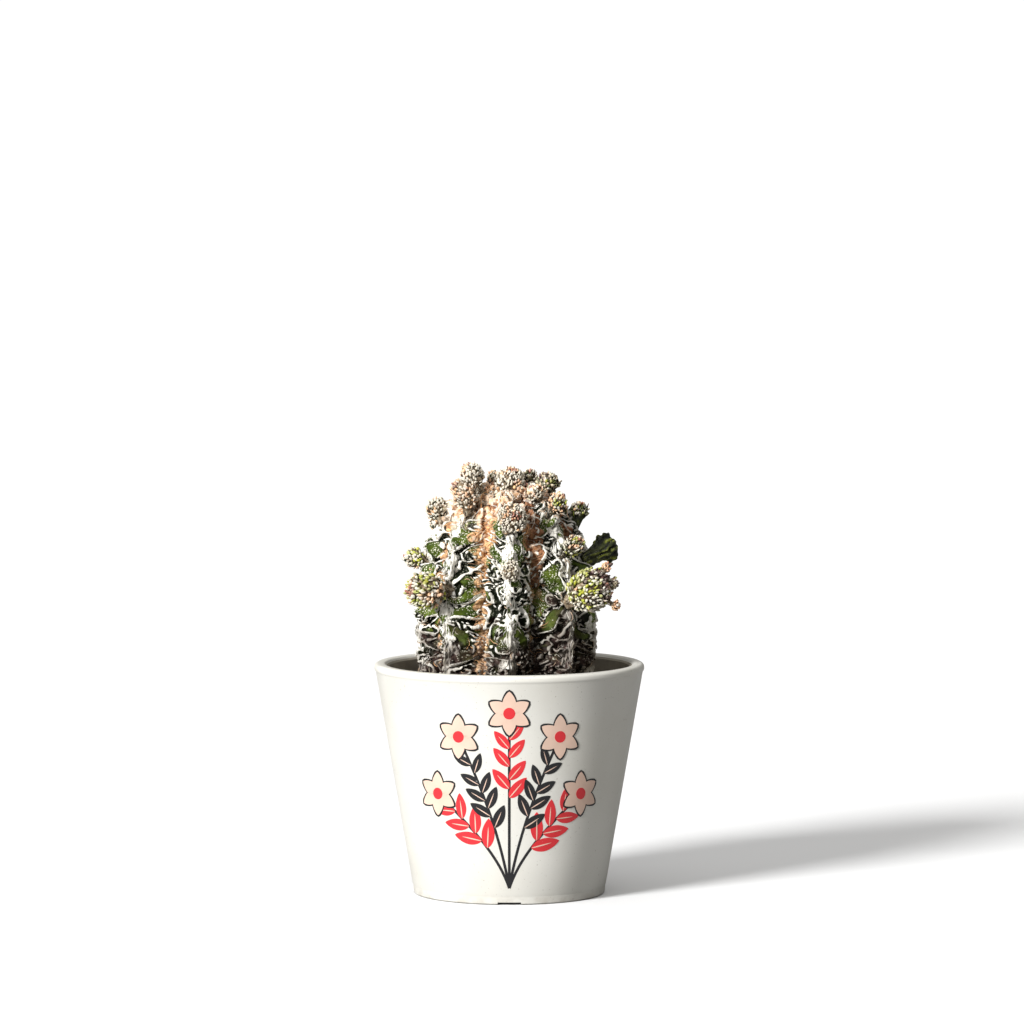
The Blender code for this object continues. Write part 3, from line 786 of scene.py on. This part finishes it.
def flesh_finish():
    material, tree = finish("flocked_flesh", 0.7, 0.12)
    # The cork mask, read here as low, marks the corky base and also the painted shadow under the right
    # large head; there it darkens the skin, thins the flock and turns it bark-coloured.
    welt_at, hollow_at, calm_at, cord_at, furrow_at, low, sun, crease_at = kept(
        tree, "welt", "hollow", "calm", "cord", "furrow", "cork", "sun", "crease"
    )
    height = height_in(tree)
    ragged = scaled(grain(tree, 9, 3.0), 34 * MM, height)
    # The crown's warm colour reaches further down on the side facing the key light: painted light.
    ragged = scaled(sun, 14 * MM, ragged)
    crown = eased(ragged, 177 * MM, 191 * MM)

    skin = clouded(tree, 5, SKIN_OLD, SKIN_GREEN)
    skin = overlaid(calm_at, skin, clouded(tree, 7, SKIN_GREEN, SKIN_YOUNG))
    # The hollows are painted near-black: painted shade. The same near-black also gives the real dark
    # specks.
    painted_hollow_shade = times(eased(hollow_at, 0.25, 0.75), 0.95)
    skin = overlaid(painted_hollow_shade, skin, SKIN_SPECK_AND_SHADE)
    cork = clouded(tree, 3, CORK_AND_SHADOW_DARK, CORK_AND_SHADOW_PURPLE)
    skin = overlaid(times(low, 0.85), skin, cork)
    specks = eased(grain(tree, 0.7, 2.0), 0.57, 0.62)
    skin = overlaid(times(specks, 0.5), skin, SKIN_SPECK_AND_SHADE)
    dense = scaled(eased(height, 105 * MM, 140 * MM), 0.21, grain(tree, 6))
    dots = times(dotted(tree, 0.75, 0.27, 0.38), eased(dense, 0.53, 0.64))
    dots = times(dots, scaled(calm_at, 0.7, 0.3))
    skin = overlaid(dots, skin, SKIN_DOT)
    rust = clouded(tree, 1.4, RUST_DARK_AND_SHADE, RUST_BRIGHT)
    # Rust is darkest at the bottoms of the creases and pleats: painted shade.
    rust = overlaid(eased(crease_at, 0.0, 0.35), RUST_DARK_AND_SHADE, rust)
    # Painted light and shade: the rust, its cover and the tan flock are lighter on the side facing the
    # key light and darker away from it.
    painted_lit_side = eased(sun, 0.45, 0.9)
    rust = overlaid(painted_lit_side, overlaid(0.85, rust, RUST_DARK_AND_SHADE), rust)
    rusty = times(eased(furrow_at, 0.1, 0.6), eased(grain(tree, 5, 3.0), 0.2, 0.4))
    lit_or_high = times(painted_lit_side, 0.65)
    lit_or_high = greater(lit_or_high, eased(height, 118 * MM, 140 * MM))
    rusty = times(rusty, scaled(lit_or_high, 0.65, 0.35))
    skin = overlaid(greater(rusty, times(crown, 0.8)), skin, rust)

    combed = strands(tree, 0.6, 0.13)
    worn = frayed(scaled(low, -0.14, welt_at), 0.7, 0.4, 0.56, 0.69)
    on_cord = eased(cord_at, 0.02, 0.35)
    torn = times(reckoned("SUBTRACT", combed, 0.5), on_cord)
    torn = scaled(torn, 4.2, cord_at)
    flock = greater(worn, eased(torn, 0.24, 0.42))
    patchy_and_shaded = scaled(eased(grain(tree, 12, 2.0), 0.3, 0.45), 0.15, 0.85)
    patchy_and_shaded = times(patchy_and_shaded, scaled(low, -0.48, 1.0))
    # The flock is thinner on the side away from the key light: painted shade.
    patchy_and_shaded = times(patchy_and_shaded, scaled(eased(sun, 0.35, 0.7), 0.12, 0.88))
    flock = times(flock, patchy_and_shaded)
    white = overlaid(eased(combed, 0.3, 0.48), FLOCK_SHADE, FLOCK_WHITE)
    white = overlaid(times(low, 0.66), white, FLOCK_BARK_AND_SHADOW)
    tan = clouded(tree, 2.5, FLOCK_TAN, FLOCK_WHITE)
    tan = overlaid(painted_lit_side, clouded(tree, 2.5, RUST_DARK_AND_SHADE, FLOCK_TAN), tan)
    warm = times(furrow_at, scaled(low, -0.6, 0.7))
    warm = greater(crown, warm)
    white = overlaid(warm, white, tan)
    felt = scaled(eased(crease_at, 0.2, 0.6), 0.85, 0.1)
    matted = times(furrow_at, scaled(low, 0.5, 0.06))
    matted = greater(crown, matted)
    flock = greater(flock, times(matted, felt))
    dull = mixed_in(tree, "MapRange", {0: flock, 3: 0.6, 4: 0.95}).outputs[0]
    fluff = times(flock, reckoned("ADD", grain(tree, 0.35, 4.0), combed))
    return painted(material, overlaid(flock, skin, white), fluff, 0.28, Roughness=dull)


def quarter(piece, first):
    """Takes the faces of two neighbouring ribs off as a piece of their own."""
    on_rib = rib_place(rows(piece.data.polygons, "center") / MM)[0]
    chosen = (on_rib == first) | (on_rib == (first + 1) % RIBS)
    edit(piece, all_selected=False)
    leave()
    piece.data.polygons.foreach_set("select", chosen)
    edges = np.zeros(len(piece.data.edges), bool)
    piece.data.edges.foreach_set("select", edges)
    bpy.ops.object.mode_set(mode="EDIT")
    bpy.ops.mesh.select_mode(type="FACE")
    bpy.ops.mesh.separate(type="SELECTED")
    leave()
    return next(o for o in bpy.context.selected_objects if o != piece)


coated(stem, flesh_finish())
quarters = [quarter(stem, first) for first in (0, 2, 4)]
for where, piece in zip(("front", "right", "back", "left"), (*quarters, stem)):
    piece.name = piece.data.name = "flesh_" + where
    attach(piece, "root")
    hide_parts("cactus_body")


# The heads: young offsets on the crests, each a lumpy ball of small scales tipped with flock. One
# scale is modelled and set all over each head's core in a sunflower's spiral that has strayed.
SCALE_PITCH = 1.3
CORE_CELL, CORE_ROUNDS, CORE_SINK, CORE_LUMPS = 0.6, 8, 0.5, 0.35
HEADS = (
    # name, root, centre, radius, share of rust, of yellow, of plum, and how much is white
    ("top_left_rear", (-11.0, -10.4, 163.6), (-15.2, -7.4, 171.2), 4.6, 0.4, 0.0, 0.0, 1.5),
    ("top_left", (-15.3, -16.8, 163.0), (-18.2, -18.8, 165.4), 5.0, 0.8, 0.0, 0.0, 1.3),
    ("left_shoulder", (-28.2, -0.9, 152.5), (-29.6, 0.6, 157.0), 4.1, 0.15, 0.15, 0.0, 0.9),
    ("left_high", (-34.4, -0.5, 135.5), (-38.6, 0.0, 136.8), 3.9, 0.15, 0.45, 0.1, 1.0),
    ("left_large", (-25.4, -25.0, 126.0), (-33.8, -29.6, 126.2), 6.8, 0.3, 0.75, 0.0, 1.5),
    ("front_high", (-0.2, -22.0, 153.6), (1.4, -30.6, 155.4), 5.6, 0.2, 0.0, 0.0, 1.8),
    ("front_mid", (-0.1, -30.6, 133.9), (0.2, -36.4, 134.8), 3.7, 0.0, 0.1, 0.0, 3.0),
    ("crown", (-1.0, -1.9, 160.0), (0.2, -2.6, 167.6), 5.8, 0.15, 0.0, 0.0, 2.6),
    ("crown_right", (8.3, 10.0, 163.8), (8.4, 7.6, 169.4), 3.0, 0.2, 0.1, 0.1, 0.7),
    ("crown_left", (-11.2, 9.5, 163.8), (-6.6, 5.6, 169.9), 2.6, 0.9, 0.0, 0.0, 0.6),
    # right_top has little white and much plum so that it reads dark: painted shade on a head facing away
    # from the key light.
    ("right_top", (16.5, 0.5, 162.0), (15.9, 1.0, 167.4), 4.2, 0.1, 0.1, 0.5, 0.15),
    ("right_front_top", (16.6, -16.9, 156.0), (19.6, -18.6, 160.8), 3.6, 0.7, 0.2, 0.3, 0.6),
    ("right_front", (22.0, -22.3, 140.0), (26.2, -25.4, 144.2), 3.7, 0.2, 0.7, 0.5, 0.55),
    ("right_large", (24.3, -24.3, 121.5), (32.4, -27.6, 126.2), 8.0, 0.05, 1.0, 0.9, 1.3),
    ("crown_front", (12.6, -13.0, 161.2), (10.6, -13.6, 164.4), 3.2, 0.7, 0.0, 0.0, 0.9),
    ("rear_3_1", (23.3, 24.7, 125.8), (26.3, 27.1, 128.1), 5.1, 0.2, 0.3, 0.1, 0.7),
    ("rear_3_2", (19.0, 22.1, 146.5), (21.3, 26.2, 148.8), 5.2, 0.3, 0.1, 0.0, 0.7),
    ("rear_4_1", (-2.6, 34.4, 128.9), (-2.4, 39.7, 131.5), 5.5, 0.15, 0.4, 0.1, 0.7),
    ("rear_4_2", (-1.4, 28.5, 149.7), (-2.2, 32.5, 151.9), 4.6, 0.35, 0.1, 0.0, 0.7),
    ("rear_5_1", (-26.7, 23.4, 127.2), (-29.5, 25.7, 128.9), 4.5, 0.1, 0.4, 0.1, 0.7),
    ("rear_5_2", (-22.6, 20.4, 147.4), (-26.7, 22.8, 149.7), 5.6, 0.3, 0.2, 0.0, 0.7),
)
BABIES = (
    # centre, radius, share of rust, of yellow, of plum, and how much is white
    ((38.4, -28.4, 135.2), 2.0, 2.0, 0.0, 0.0, 0.0),
    ((42.4, -29.6, 120.4), 2.4, 2.0, 0.0, 0.0, 0.0),
    ((41.2, -25.0, 128.6), 2.6, 0.3, 0.0, 2.0, 0.1),
)
SCALE_WIDE, SCALE_LONG, SCALE_LEAN = (0.36, 0.62), (0.9, 1.7), (0.7, 2.2)
SCALE_GREEN, SCALE_YELLOW = (0.09, 0.10, 0.025), (0.48, 0.50, 0.055)
SCALE_RUST, SCALE_PEACH, SCALE_BUFF = (0.42, 0.15, 0.09), (0.90, 0.54, 0.30), (0.74, 0.62, 0.43)
SCALE_PLUM, FLOCK_CREAM = (0.11, 0.05, 0.045), (0.97, 0.93, 0.85)
CORE_GAP_SHADE, CORE_GREEN = (0.012, 0.010, 0.007), (0.07, 0.055, 0.03)
CORE_GAP_SHADE_BUFF, CORE_CREAM, PALE_FROM = (0.05, 0.035, 0.022), (0.30, 0.22, 0.14), 0.8
HEAD_REACH, BABY_REACH = 2.75, 2.0
CROWN_CENTRE, CROWN_R, CROWN_REACH = (BODY_X, 0.0, 147.0), 17.0, 0.7
CROWN_SHARES = (0.7, 0.05, 0.0, 0.8)


def scale_model():
    """One scale, a unit high: a bent, rounded flake on a six-sided foot."""
    start = {"radius": 0.95, "location": (0, 0, -0.35)}
    model = started(bpy.ops.mesh.primitive_circle_add, vertices=6, fill_type="NGON", **start)
    bpy.ops.object.transform_apply()
    edit(model)
    for lift, grow, lean in ((0.5, 1.05, 0.05), (0.4, 0.85, 0.15), (0.3, 0.5, 0.2)):
        drawn_out((0, lean, lift), grow)
    turned_out()
    model.data.shade_smooth()
    keep(model, tip=np.clip(vertices(model)[:, 2] * MM, 0, 1))
    model.data.attributes.new("tint", "FLOAT_COLOR", "POINT")
    model.data.attributes.new("flock", "FLOAT", "POINT")
    return model


def scale_finish():
    material, tree = finish("flocked_scale", 0.85, 0.15)
    tint, shade = tinted(tree, 0.13)
    tip, flock = kept(tree, "tip", "flock")
    skin = overlaid(eased(tip, 0.1, 0.5), shade, tint)
    cover = times(frayed(tip, 0.5, 0.6, 0.24, 0.4), flock)
    white = overlaid(0.16, clouded(tree, 0.8, FLOCK_GREY, FLOCK_CREAM), tint)
    return painted(material, overlaid(cover, skin, white), grain(tree, 0.3, 3.0), 0.15)


def core_finish(name, dark, light):
    material, tree = finish(name, 0.85, 0.2)
    body = clouded(tree, 1.5, dark, light)
    down = eased(grain(tree, 0.8, 4.0), 0.52, 0.62)
    return painted(material, overlaid(times(down, 0.5), body, FLOCK_GREY), grain(tree, 0.6, 3.0), 0.25)


def softened(node, name, cell, rounds, sink=0.0, lumps=0.0):
    """A CAD head as grown flesh: its facets rounded off and drawn in to leave room for scales."""
    core = taken(node, name)
    regrown(core, cell, rounds)
    bpy.ops.transform.shrink_fatten(value=-sink * MM)
    leave()
    spots = vertices(core)
    moved_out(core, spots, lumps * drift(spots, 4.5, 31))
    return core


def spiral(count, last):
    """Directions in a sunflower's spiral from the tip out to this angle from it."""
    for k in range(count):
        up = 1 - (1 - math.cos(last)) * (k + 0.5) / count
        turn = k * math.pi * (3 - math.sqrt(5))
        flat = math.sqrt(1 - up * up)
        yield Vector((flat * math.cos(turn), flat * math.sin(turn), up))


def head_scales(tree, centre, axis, radius, last, shares):
    """Places for the scales of one head, found on its core from the inside out."""
    rust, yellow, plum, white = shares
    pitch = SCALE_PITCH * (0.75 if radius < 3 else 1.25 if radius > 6 else 1.0)
    count = round((1 - math.cos(last)) * math.tau * (1.08 * radius) ** 2 / (0.87 * pitch**2))
    aim = axis.to_track_quat("Z", "Y").to_matrix()
    for way in spiral(count, last):
        astray = Vector([rng.gauss(0, 0.3 * pitch / radius) for _ in range(3)])
        way = (aim @ way + astray).normalized()
        hit, normal, _, _ = tree.ray_cast(Vector(centre) * MM, way, 2.4 * radius * MM)
        if hit is None or normal.dot(way) < 0.2:
            continue
        lean = (axis - axis.dot(normal) * normal) * rng.uniform(*SCALE_LEAN)
        stand = (normal + lean + Vector([rng.gauss(0, 0.2) for _ in range(3)])).normalized()
        wide = pitch * rng.uniform(*SCALE_WIDE)
        thin = wide * rng.uniform(0.4, 0.7)
        high = pitch * rng.uniform(*SCALE_LONG)
        turned = stand.to_track_quat("Z", "Y").to_matrix().to_4x4()
        facing = turned.inverted().to_3x3() @ axis
        spin = Matrix.Rotation(math.atan2(facing.y, facing.x) - math.pi / 2 + rng.gauss(0, 0.6), 4, "Z")
        shape = Matrix.Diagonal((wide * MM, thin * MM, high * MM, 1))
        blotch = drift(np.array([hit]) / MM, 6, 33)[0] + rng.gauss(0, 0.35)
        share = 1 / (1 + math.exp(-1.7 * blotch))
        near_tip = max(0.0, way.dot(axis))
        reddest, vivid = near_tip > 0.9, True
        if share < rust * (0.7 + 5 * reddest):
            tint = SCALE_RUST if reddest and rng.random() < 0.7 else SCALE_PEACH
        elif rng.random() < plum * near_tip**2:
            tint = SCALE_PLUM
        elif share > 1.05 - 0.75 * yellow:
            tint = SCALE_YELLOW
        else:
            green = 0.45 * (1 - white / 2) + 0.5 * yellow
            tint, vivid = SCALE_GREEN if rng.random() < green else SCALE_BUFF, False
        light = rng.uniform(0.75, 1.15)
        tint = tuple(c * light * rng.uniform(0.94, 1.06) for c in tint)
        bare = rng.random() > min(white, 1.0) * (0.15 if reddest else 0.4 if vivid else 1.0)
        flock = rng.uniform(0.0, 0.4) if bare else max(1.0, white)
        yield Matrix.Translation(hit) @ turned @ spin @ shape, tint, flock


one_scale, flocked_scale = scale_model(), scale_finish()
# The cores are dark: their own green or cream with painted shade, which shows in the gaps between the
# scales.
green_core = core_finish("green_core", CORE_GAP_SHADE, CORE_GREEN)
pale_core = core_finish("pale_core", CORE_GAP_SHADE_BUFF, CORE_CREAM)
rng = random.Random(21)
for name, root, centre, radius, *shares in HEADS:
    node, root, centre = "offset_" + name, Vector(root), Vector(centre)
    core = softened(node, "core_" + name, CORE_CELL, CORE_ROUNDS, CORE_SINK, CORE_LUMPS)
    core_tree = nearest_tree(core)
    axis = (centre - root).normalized()
    places = list(head_scales(core_tree, centre, axis, radius, HEAD_REACH, shares))
    if name == "right_large":
        for middle, small, *its in BABIES:
            aside = (Vector(middle) - centre).normalized()
            places += head_scales(core_tree, middle, aside, small, BABY_REACH, its)
    scales = dropped("scales_" + name, one_scale, places)
    coated(core, pale_core if shares[3] >= PALE_FROM else green_core)
    coated(scales, flocked_scale)
    for piece in (core, scales):
        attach(piece, "root")
    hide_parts(node)

up = Vector((0, 0, 1))
crown = list(head_scales(flesh_tree, CROWN_CENTRE, up, CROWN_R, CROWN_REACH, CROWN_SHARES))
crown_scales = dropped("scales_crown_felt", one_scale, rng.sample(crown, len(crown) * 2 // 3))
coated(crown_scales, flocked_scale)
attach(crown_scales, "root")


# The bare offsets: two seedling-like shoots behind the right ribs, ribbed cones of dark green
# skin. They keep their own form, softened, and the upper one has a cap of dark scales.
YOUNG = (
    ("right_shoulder", (28.6, 1.0, 150.5), (28.2, 2.6, 155.2), 3.9),
    ("right_funnel", (31.5, 1.0, 136.5), (38.8, 5.2, 140.4), 6.1),
)
YOUNG_DARK_AND_SHADE, YOUNG_GREEN, YOUNG_BRIGHT = (0.006, 0.007, 0.004), (0.06, 0.07, 0.02), (0.27, 0.30, 0.035)
YOUNG_CELL, YOUNG_ROUNDS = 0.35, 2
CRIMP_PITCH, CRIMP, FLUTES, FLUTE = 2.4, 0.4, 11, 0.55
CAP_UP, CAP_REACH, CAP_SHARES = (0.3, 0, 1), 1.9, (0.1, 0.1, 0.2, 0.35)


def young_skin():
    material, tree = finish("young_skin", 0.6, 0.3)
    ridge_at, = kept(tree, "ridge")
    skin = clouded(tree, 2.5, YOUNG_DARK_AND_SHADE, YOUNG_GREEN)
    bright = times(eased(ridge_at, 0.45, 0.9), eased(grain(tree, 4), 0.4, 0.6))
    skin = overlaid(bright, skin, YOUNG_BRIGHT)
    # Darker in the grooves between the flutes: painted shade. The same dark also mottles the skin.
    skin = overlaid(opposite(eased(ridge_at, 0.1, 0.4)), skin, YOUNG_DARK_AND_SHADE)
    dots = times(dotted(tree, 0.8, 0.12, 0.22), eased(grain(tree, 4), 0.45, 0.6))
    return painted(material, overlaid(dots, skin, SKIN_DOT), grain(tree, 1.0, 4.0), 0.5)


bare_skin = young_skin()
for name, root, centre, radius in YOUNG:
    node = "offset_" + name
    shoot = softened(node, name, YOUNG_CELL, YOUNG_ROUNDS)
    spots = vertices(shoot)
    aim = (Vector(centre) - Vector(root)).to_track_quat("Z", "Y").to_matrix()
    local = (spots - np.array(centre)) @ np.array(aim)
    ridge = np.cos(FLUTES * np.arctan2(local[:, 1], local[:, 0]) + 1.2 * drift(spots, 7, 36))
    wide = np.hypot(local[:, 0], local[:, 1])
    rim = smooth(wide, 0.35 * radius, 0.9 * radius)
    crimp = rim * (CRIMP * drift(spots, CRIMP_PITCH, 35) + FLUTE * ridge)
    keep(shoot, ridge=0.5 + 0.5 * ridge * rim)
    moved_out(shoot, spots, crimp)
    coated(shoot, bare_skin)
    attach(shoot, "root")
    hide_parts(node)
    if name == "right_shoulder":
        up, tree = Vector(CAP_UP).normalized(), nearest_tree(shoot)
        places = head_scales(tree, centre, up, radius, CAP_REACH, CAP_SHARES)
        cap = dropped("scales_right_shoulder", one_scale, list(places))
        coated(cap, flocked_scale)
        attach(cap, "root")
bpy.data.objects.remove(one_scale)


# The wool: felted threads along the crests, round the heads' roots and over the crown, and rusty
# ones in the furrows. One thread is modelled, and each copy of it is laid on the flesh.
THREAD_SHAPE = (0.5, 1.0, 0.95, 0.8, 0.3)
THREAD_LOFT = (-0.2, 0.3, 0.4, 0.35, 0.1)
THREAD_THICK, THREAD_LONG = (0.09, 0.2), (2.0, 5.5)
CREST_THREADS, FURROW_THREADS, CROWN_THREADS, ROOT_THREADS, FOOT_THREADS = 90, 110, 260, 12, 150
CROWN_WOOL_R, LOCK_LONG, LOCK_THICK = 22.0, (4.0, 11.0), (0.14, 0.34)
WOOL_WHITE, WOOL_GREY, WOOL_TAN = (0.92, 0.89, 0.80), (0.44, 0.40, 0.31), (0.90, 0.64, 0.44)
WOOL_RUST, WOOL_BARK = (0.92, 0.52, 0.25), (0.14, 0.10, 0.08)


def thread_model():
    """One thread, a unit long: a four-sided rod that thins out at both ends."""
    start = {"radius": THREAD_SHAPE[0], "fill_type": "NGON"}
    model = started(bpy.ops.mesh.primitive_circle_add, vertices=4, **start)
    edit(model)
    for before, after in zip(THREAD_SHAPE, THREAD_SHAPE[1:]):
        drawn_out((0, 0, 1), after / before)
    turned_out()
    model.data.shade_smooth()
    model.data.attributes.new("tint", "FLOAT_COLOR", "POINT")
    return model


def crept(start, way, length, loft):
    """Points from a start along the flesh, with the middle lifted and the root sunk in it."""
    at, line = start, []
    for lift in THREAD_LOFT:
        spot, normal, _, _ = flesh_tree.find_nearest(at)
        line.append(spot + normal * lift * loft * MM)
        astray = Vector([rng.gauss(0, 0.25) for _ in range(3)])
        way = way - normal * way.dot(normal) + astray
        way = (way - normal * way.dot(normal)).normalized()
        at = spot + way * length * MM / (len(THREAD_LOFT) - 1)
    return line, normal


def laid(model, line, up, thick, tint):
    """A copy of the thread bent along a line of points."""
    thread = copied(model)
    last = len(line) - 1
    for v in thread.data.vertices:
        k = round(v.co.z)
        ahead = (line[min(k + 1, last)] - line[max(k - 1, 0)]).normalized()
        side = ahead.cross(up).normalized()
        v.co = line[k] + (side * v.co.x + ahead.cross(side) * v.co.y) * thick * MM
    tint_all(thread, tint)
    return thread


def outward(turn):
    return Vector((math.cos(turn), math.sin(turn), 0))


def seen_on(turn, height):
    """The spot of the flesh that is seen at an angle round the stem's axis and a height."""
    out, axis = outward(turn), Vector((BODY_X, 0, height)) * MM
    return flesh_tree.ray_cast(axis + out * 2 * STEM_R * MM, -out)[0]


def shaded(*tints):
    """One of these tints or one between two of them, a little lighter or darker."""
    a, b, share, light = rng.choice(tints), rng.choice(tints), rng.random(), rng.uniform(0.75, 1.1)
    return tuple(light * (p + (q - p) * share) for p, q in zip(a, b))


def wool_finish():
    material, tree = finish("felted_wool", 0.95, 0.2)
    tint, dull = tinted(tree, 0.55)
    tufts = eased(grain(tree, 0.5, 3.0), 0.35, 0.55)
    return painted(material, overlaid(tufts, dull, tint), grain(tree, 0.3, 3.0), 0.12)


def wool(name, starts, long=THREAD_LONG, thick=THREAD_THICK):
    """Joins the threads that start at each spot, with a way, a loft and a tint, to one piece."""
    threads = []
    for start, way, loft, tint in starts:
        line, up = crept(start, way, rng.uniform(*long), loft)
        threads.append(laid(one_thread, line, up, rng.uniform(*thick), tint))
    piece = joined(name, threads)
    coated(piece, felted_wool)
    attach(piece, "root")


def down_the_crests():
    for rib in range(RIBS):
        for _ in range(CREST_THREADS):
            height = rng.uniform(83, 160)
            stray = rng.gauss(0, 0.04 + 0.05 * (160 - height) / 77)
            spot = seen_on(FIRST_CREST + rib * RIB_ARC + stray, height)
            way = Vector((rng.gauss(0, 0.25), rng.gauss(0, 0.25), -1))
            old = height < rng.gauss(104, 10)
            tints = (WOOL_GREY, WOOL_BARK, WOOL_TAN) if old else (WOOL_WHITE, WOOL_WHITE, WOOL_GREY)
            yield spot, way, rng.uniform(0.5, 1.5), shaded(*tints)


def across_the_furrows():
    for rib in range(RIBS):
        for _ in range(FURROW_THREADS):
            stray, height = rng.gauss(0, 0.06), 84 + 76 * rng.random() ** 0.7
            turn = FIRST_CREST + (rib + 0.5) * RIB_ARC + stray
            spot = seen_on(turn, height)
            sideways = rng.choice((-1, 1))
            way = Vector((-math.sin(turn) * sideways, math.cos(turn) * sideways, rng.gauss(0, 0.5)))
            # Threads on the side away from the key light are darker: painted shade.
            sun = 0.25 + 0.75 * smooth(0.5 + 0.5 * math.cos(turn - KEY_LIGHT_SIDE), 0.3, 0.9)
            tint = tuple(sun * c for c in shaded(WOOL_RUST, WOOL_RUST, WOOL_TAN))
            yield spot, way, rng.uniform(0.4, 1.2), tint


def over_the_crown():
    top = Vector((BODY_X, 0, STEM_TOP + 20)) * MM
    while True:
        turn, reach = rng.uniform(0, math.tau), CROWN_WOOL_R * rng.uniform(0.1, 1) ** 0.7
        out = outward(turn)
        spot = flesh_tree.ray_cast(top + out * reach * MM, Vector((0, 0, -1)))[0]
        tints = (WOOL_TAN, WOOL_WHITE, WOOL_RUST if rng.random() < 0.4 else WOOL_WHITE)
        yield spot, out + Vector((0, 0, -0.6)), rng.uniform(0.3, 1.6), shaded(*tints)


def round_the_roots():
    for _, root, centre, radius, *_ in HEADS:
        axis = (Vector(centre) - Vector(root)).normalized()
        for _ in range(ROOT_THREADS):
            aside = Vector([rng.gauss(0, 1) for _ in range(3)])
            aside = (aside - axis * aside.dot(axis)).normalized()
            spot = (Vector(root) + aside * radius * rng.uniform(0.3, 0.6)) * MM
            tints = (WOOL_WHITE, WOOL_TAN, WOOL_GREY)
            yield spot, aside + Vector((0, 0, -0.4)), rng.uniform(0.8, 2.4), shaded(*tints)


def at_the_foot():
    for _ in range(FOOT_THREADS):
        height = 81 + 24 * rng.random() ** 1.5
        spot = seen_on(rng.uniform(0, math.tau), height)
        way = Vector((rng.gauss(0, 0.5), rng.gauss(0, 0.5), -1))
        yield spot, way, rng.uniform(0.6, 2.2), shaded(WOOL_GREY, WOOL_BARK, WOOL_TAN)


one_thread, felted_wool = thread_model(), wool_finish()
wool("wool_crests", down_the_crests())
wool("wool_furrows", across_the_furrows())
locks = (start for _, start in zip(range(CROWN_THREADS), over_the_crown()))
wool("wool_crown", locks, LOCK_LONG, LOCK_THICK)
wool("wool_roots", round_the_roots())
wool("wool_foot", at_the_foot())
bpy.data.objects.remove(one_thread)


# The floor, the light and the camera: a flat white floor under a low soft key from the front left,
# with a weak soft top light, seen from where the photograph was taken.
KEY_TURN, KEY_RISE = math.radians(43), math.radians(23)
FLOOR_SEEN, FLOOR_GIVES = (0.95, 0.95, 0.95), (0.34, 0.34, 0.34)

floor = started(bpy.ops.mesh.primitive_plane_add, size=60)
floor.name = floor.data.name = "floor"
material, tree = finish("white_floor", 0.9, 0.0)
direct = mixed_in(tree, "LightPath", {}).outputs["Is Camera Ray"]
colour = overlaid(direct, FLOOR_GIVES, FLOOR_SEEN)
tree.links.new(colour, tree.nodes["Principled BSDF"].inputs["Base Color"])
coated(floor, material)
floor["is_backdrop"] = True

for name, energy, angle, turn, rise in (
    ("key", 5.0, 16, KEY_TURN, KEY_RISE),
    ("top", 1.25, 90, 0.0, math.radians(89)),
):
    data = bpy.data.lights.new(name, "SUN")
    data.energy, data.angle = energy, math.radians(angle)
    lamp = bpy.data.objects.new(name, data)
    lamp.rotation_euler = (math.pi / 2 - rise, 0, -turn)
    bpy.context.scene.collection.objects.link(lamp)

world = bpy.data.worlds.new("studio")
world.use_nodes = True
sky = world.node_tree
shown = sky.nodes["Background"]
shown.inputs["Color"].default_value = (1, 1, 1, 1)
shown.inputs["Strength"].default_value = 1.05
fill = mixed_in(sky, "Background", {"Color": (1.0, 0.98, 0.93, 1.0), "Strength": 0.12})
seen = mixed_in(sky, "LightPath", {}).outputs["Is Camera Ray"]
both = mixed_in(sky, "MixShader", {0: seen, 1: fill.outputs[0], 2: shown.outputs[0]})
sky.links.new(both.outputs[0], sky.nodes["World Output"].inputs[0])
bpy.context.scene.world = world
bpy.context.scene.view_settings.view_transform = "Standard"

lens = bpy.data.cameras.new("photo_camera")
lens.lens, lens.sensor_width = 208, 36
lens.clip_end = 100
camera = bpy.data.objects.new("photo_camera", lens)
camera.location = (0.0011, -2.4, 0.337)
camera.rotation_euler = (math.radians(85.68), 0, 0)
bpy.context.scene.collection.objects.link(camera)
bpy.context.scene.camera = camera


[[list(corner) for corner in box] for box in (cad_box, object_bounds())]
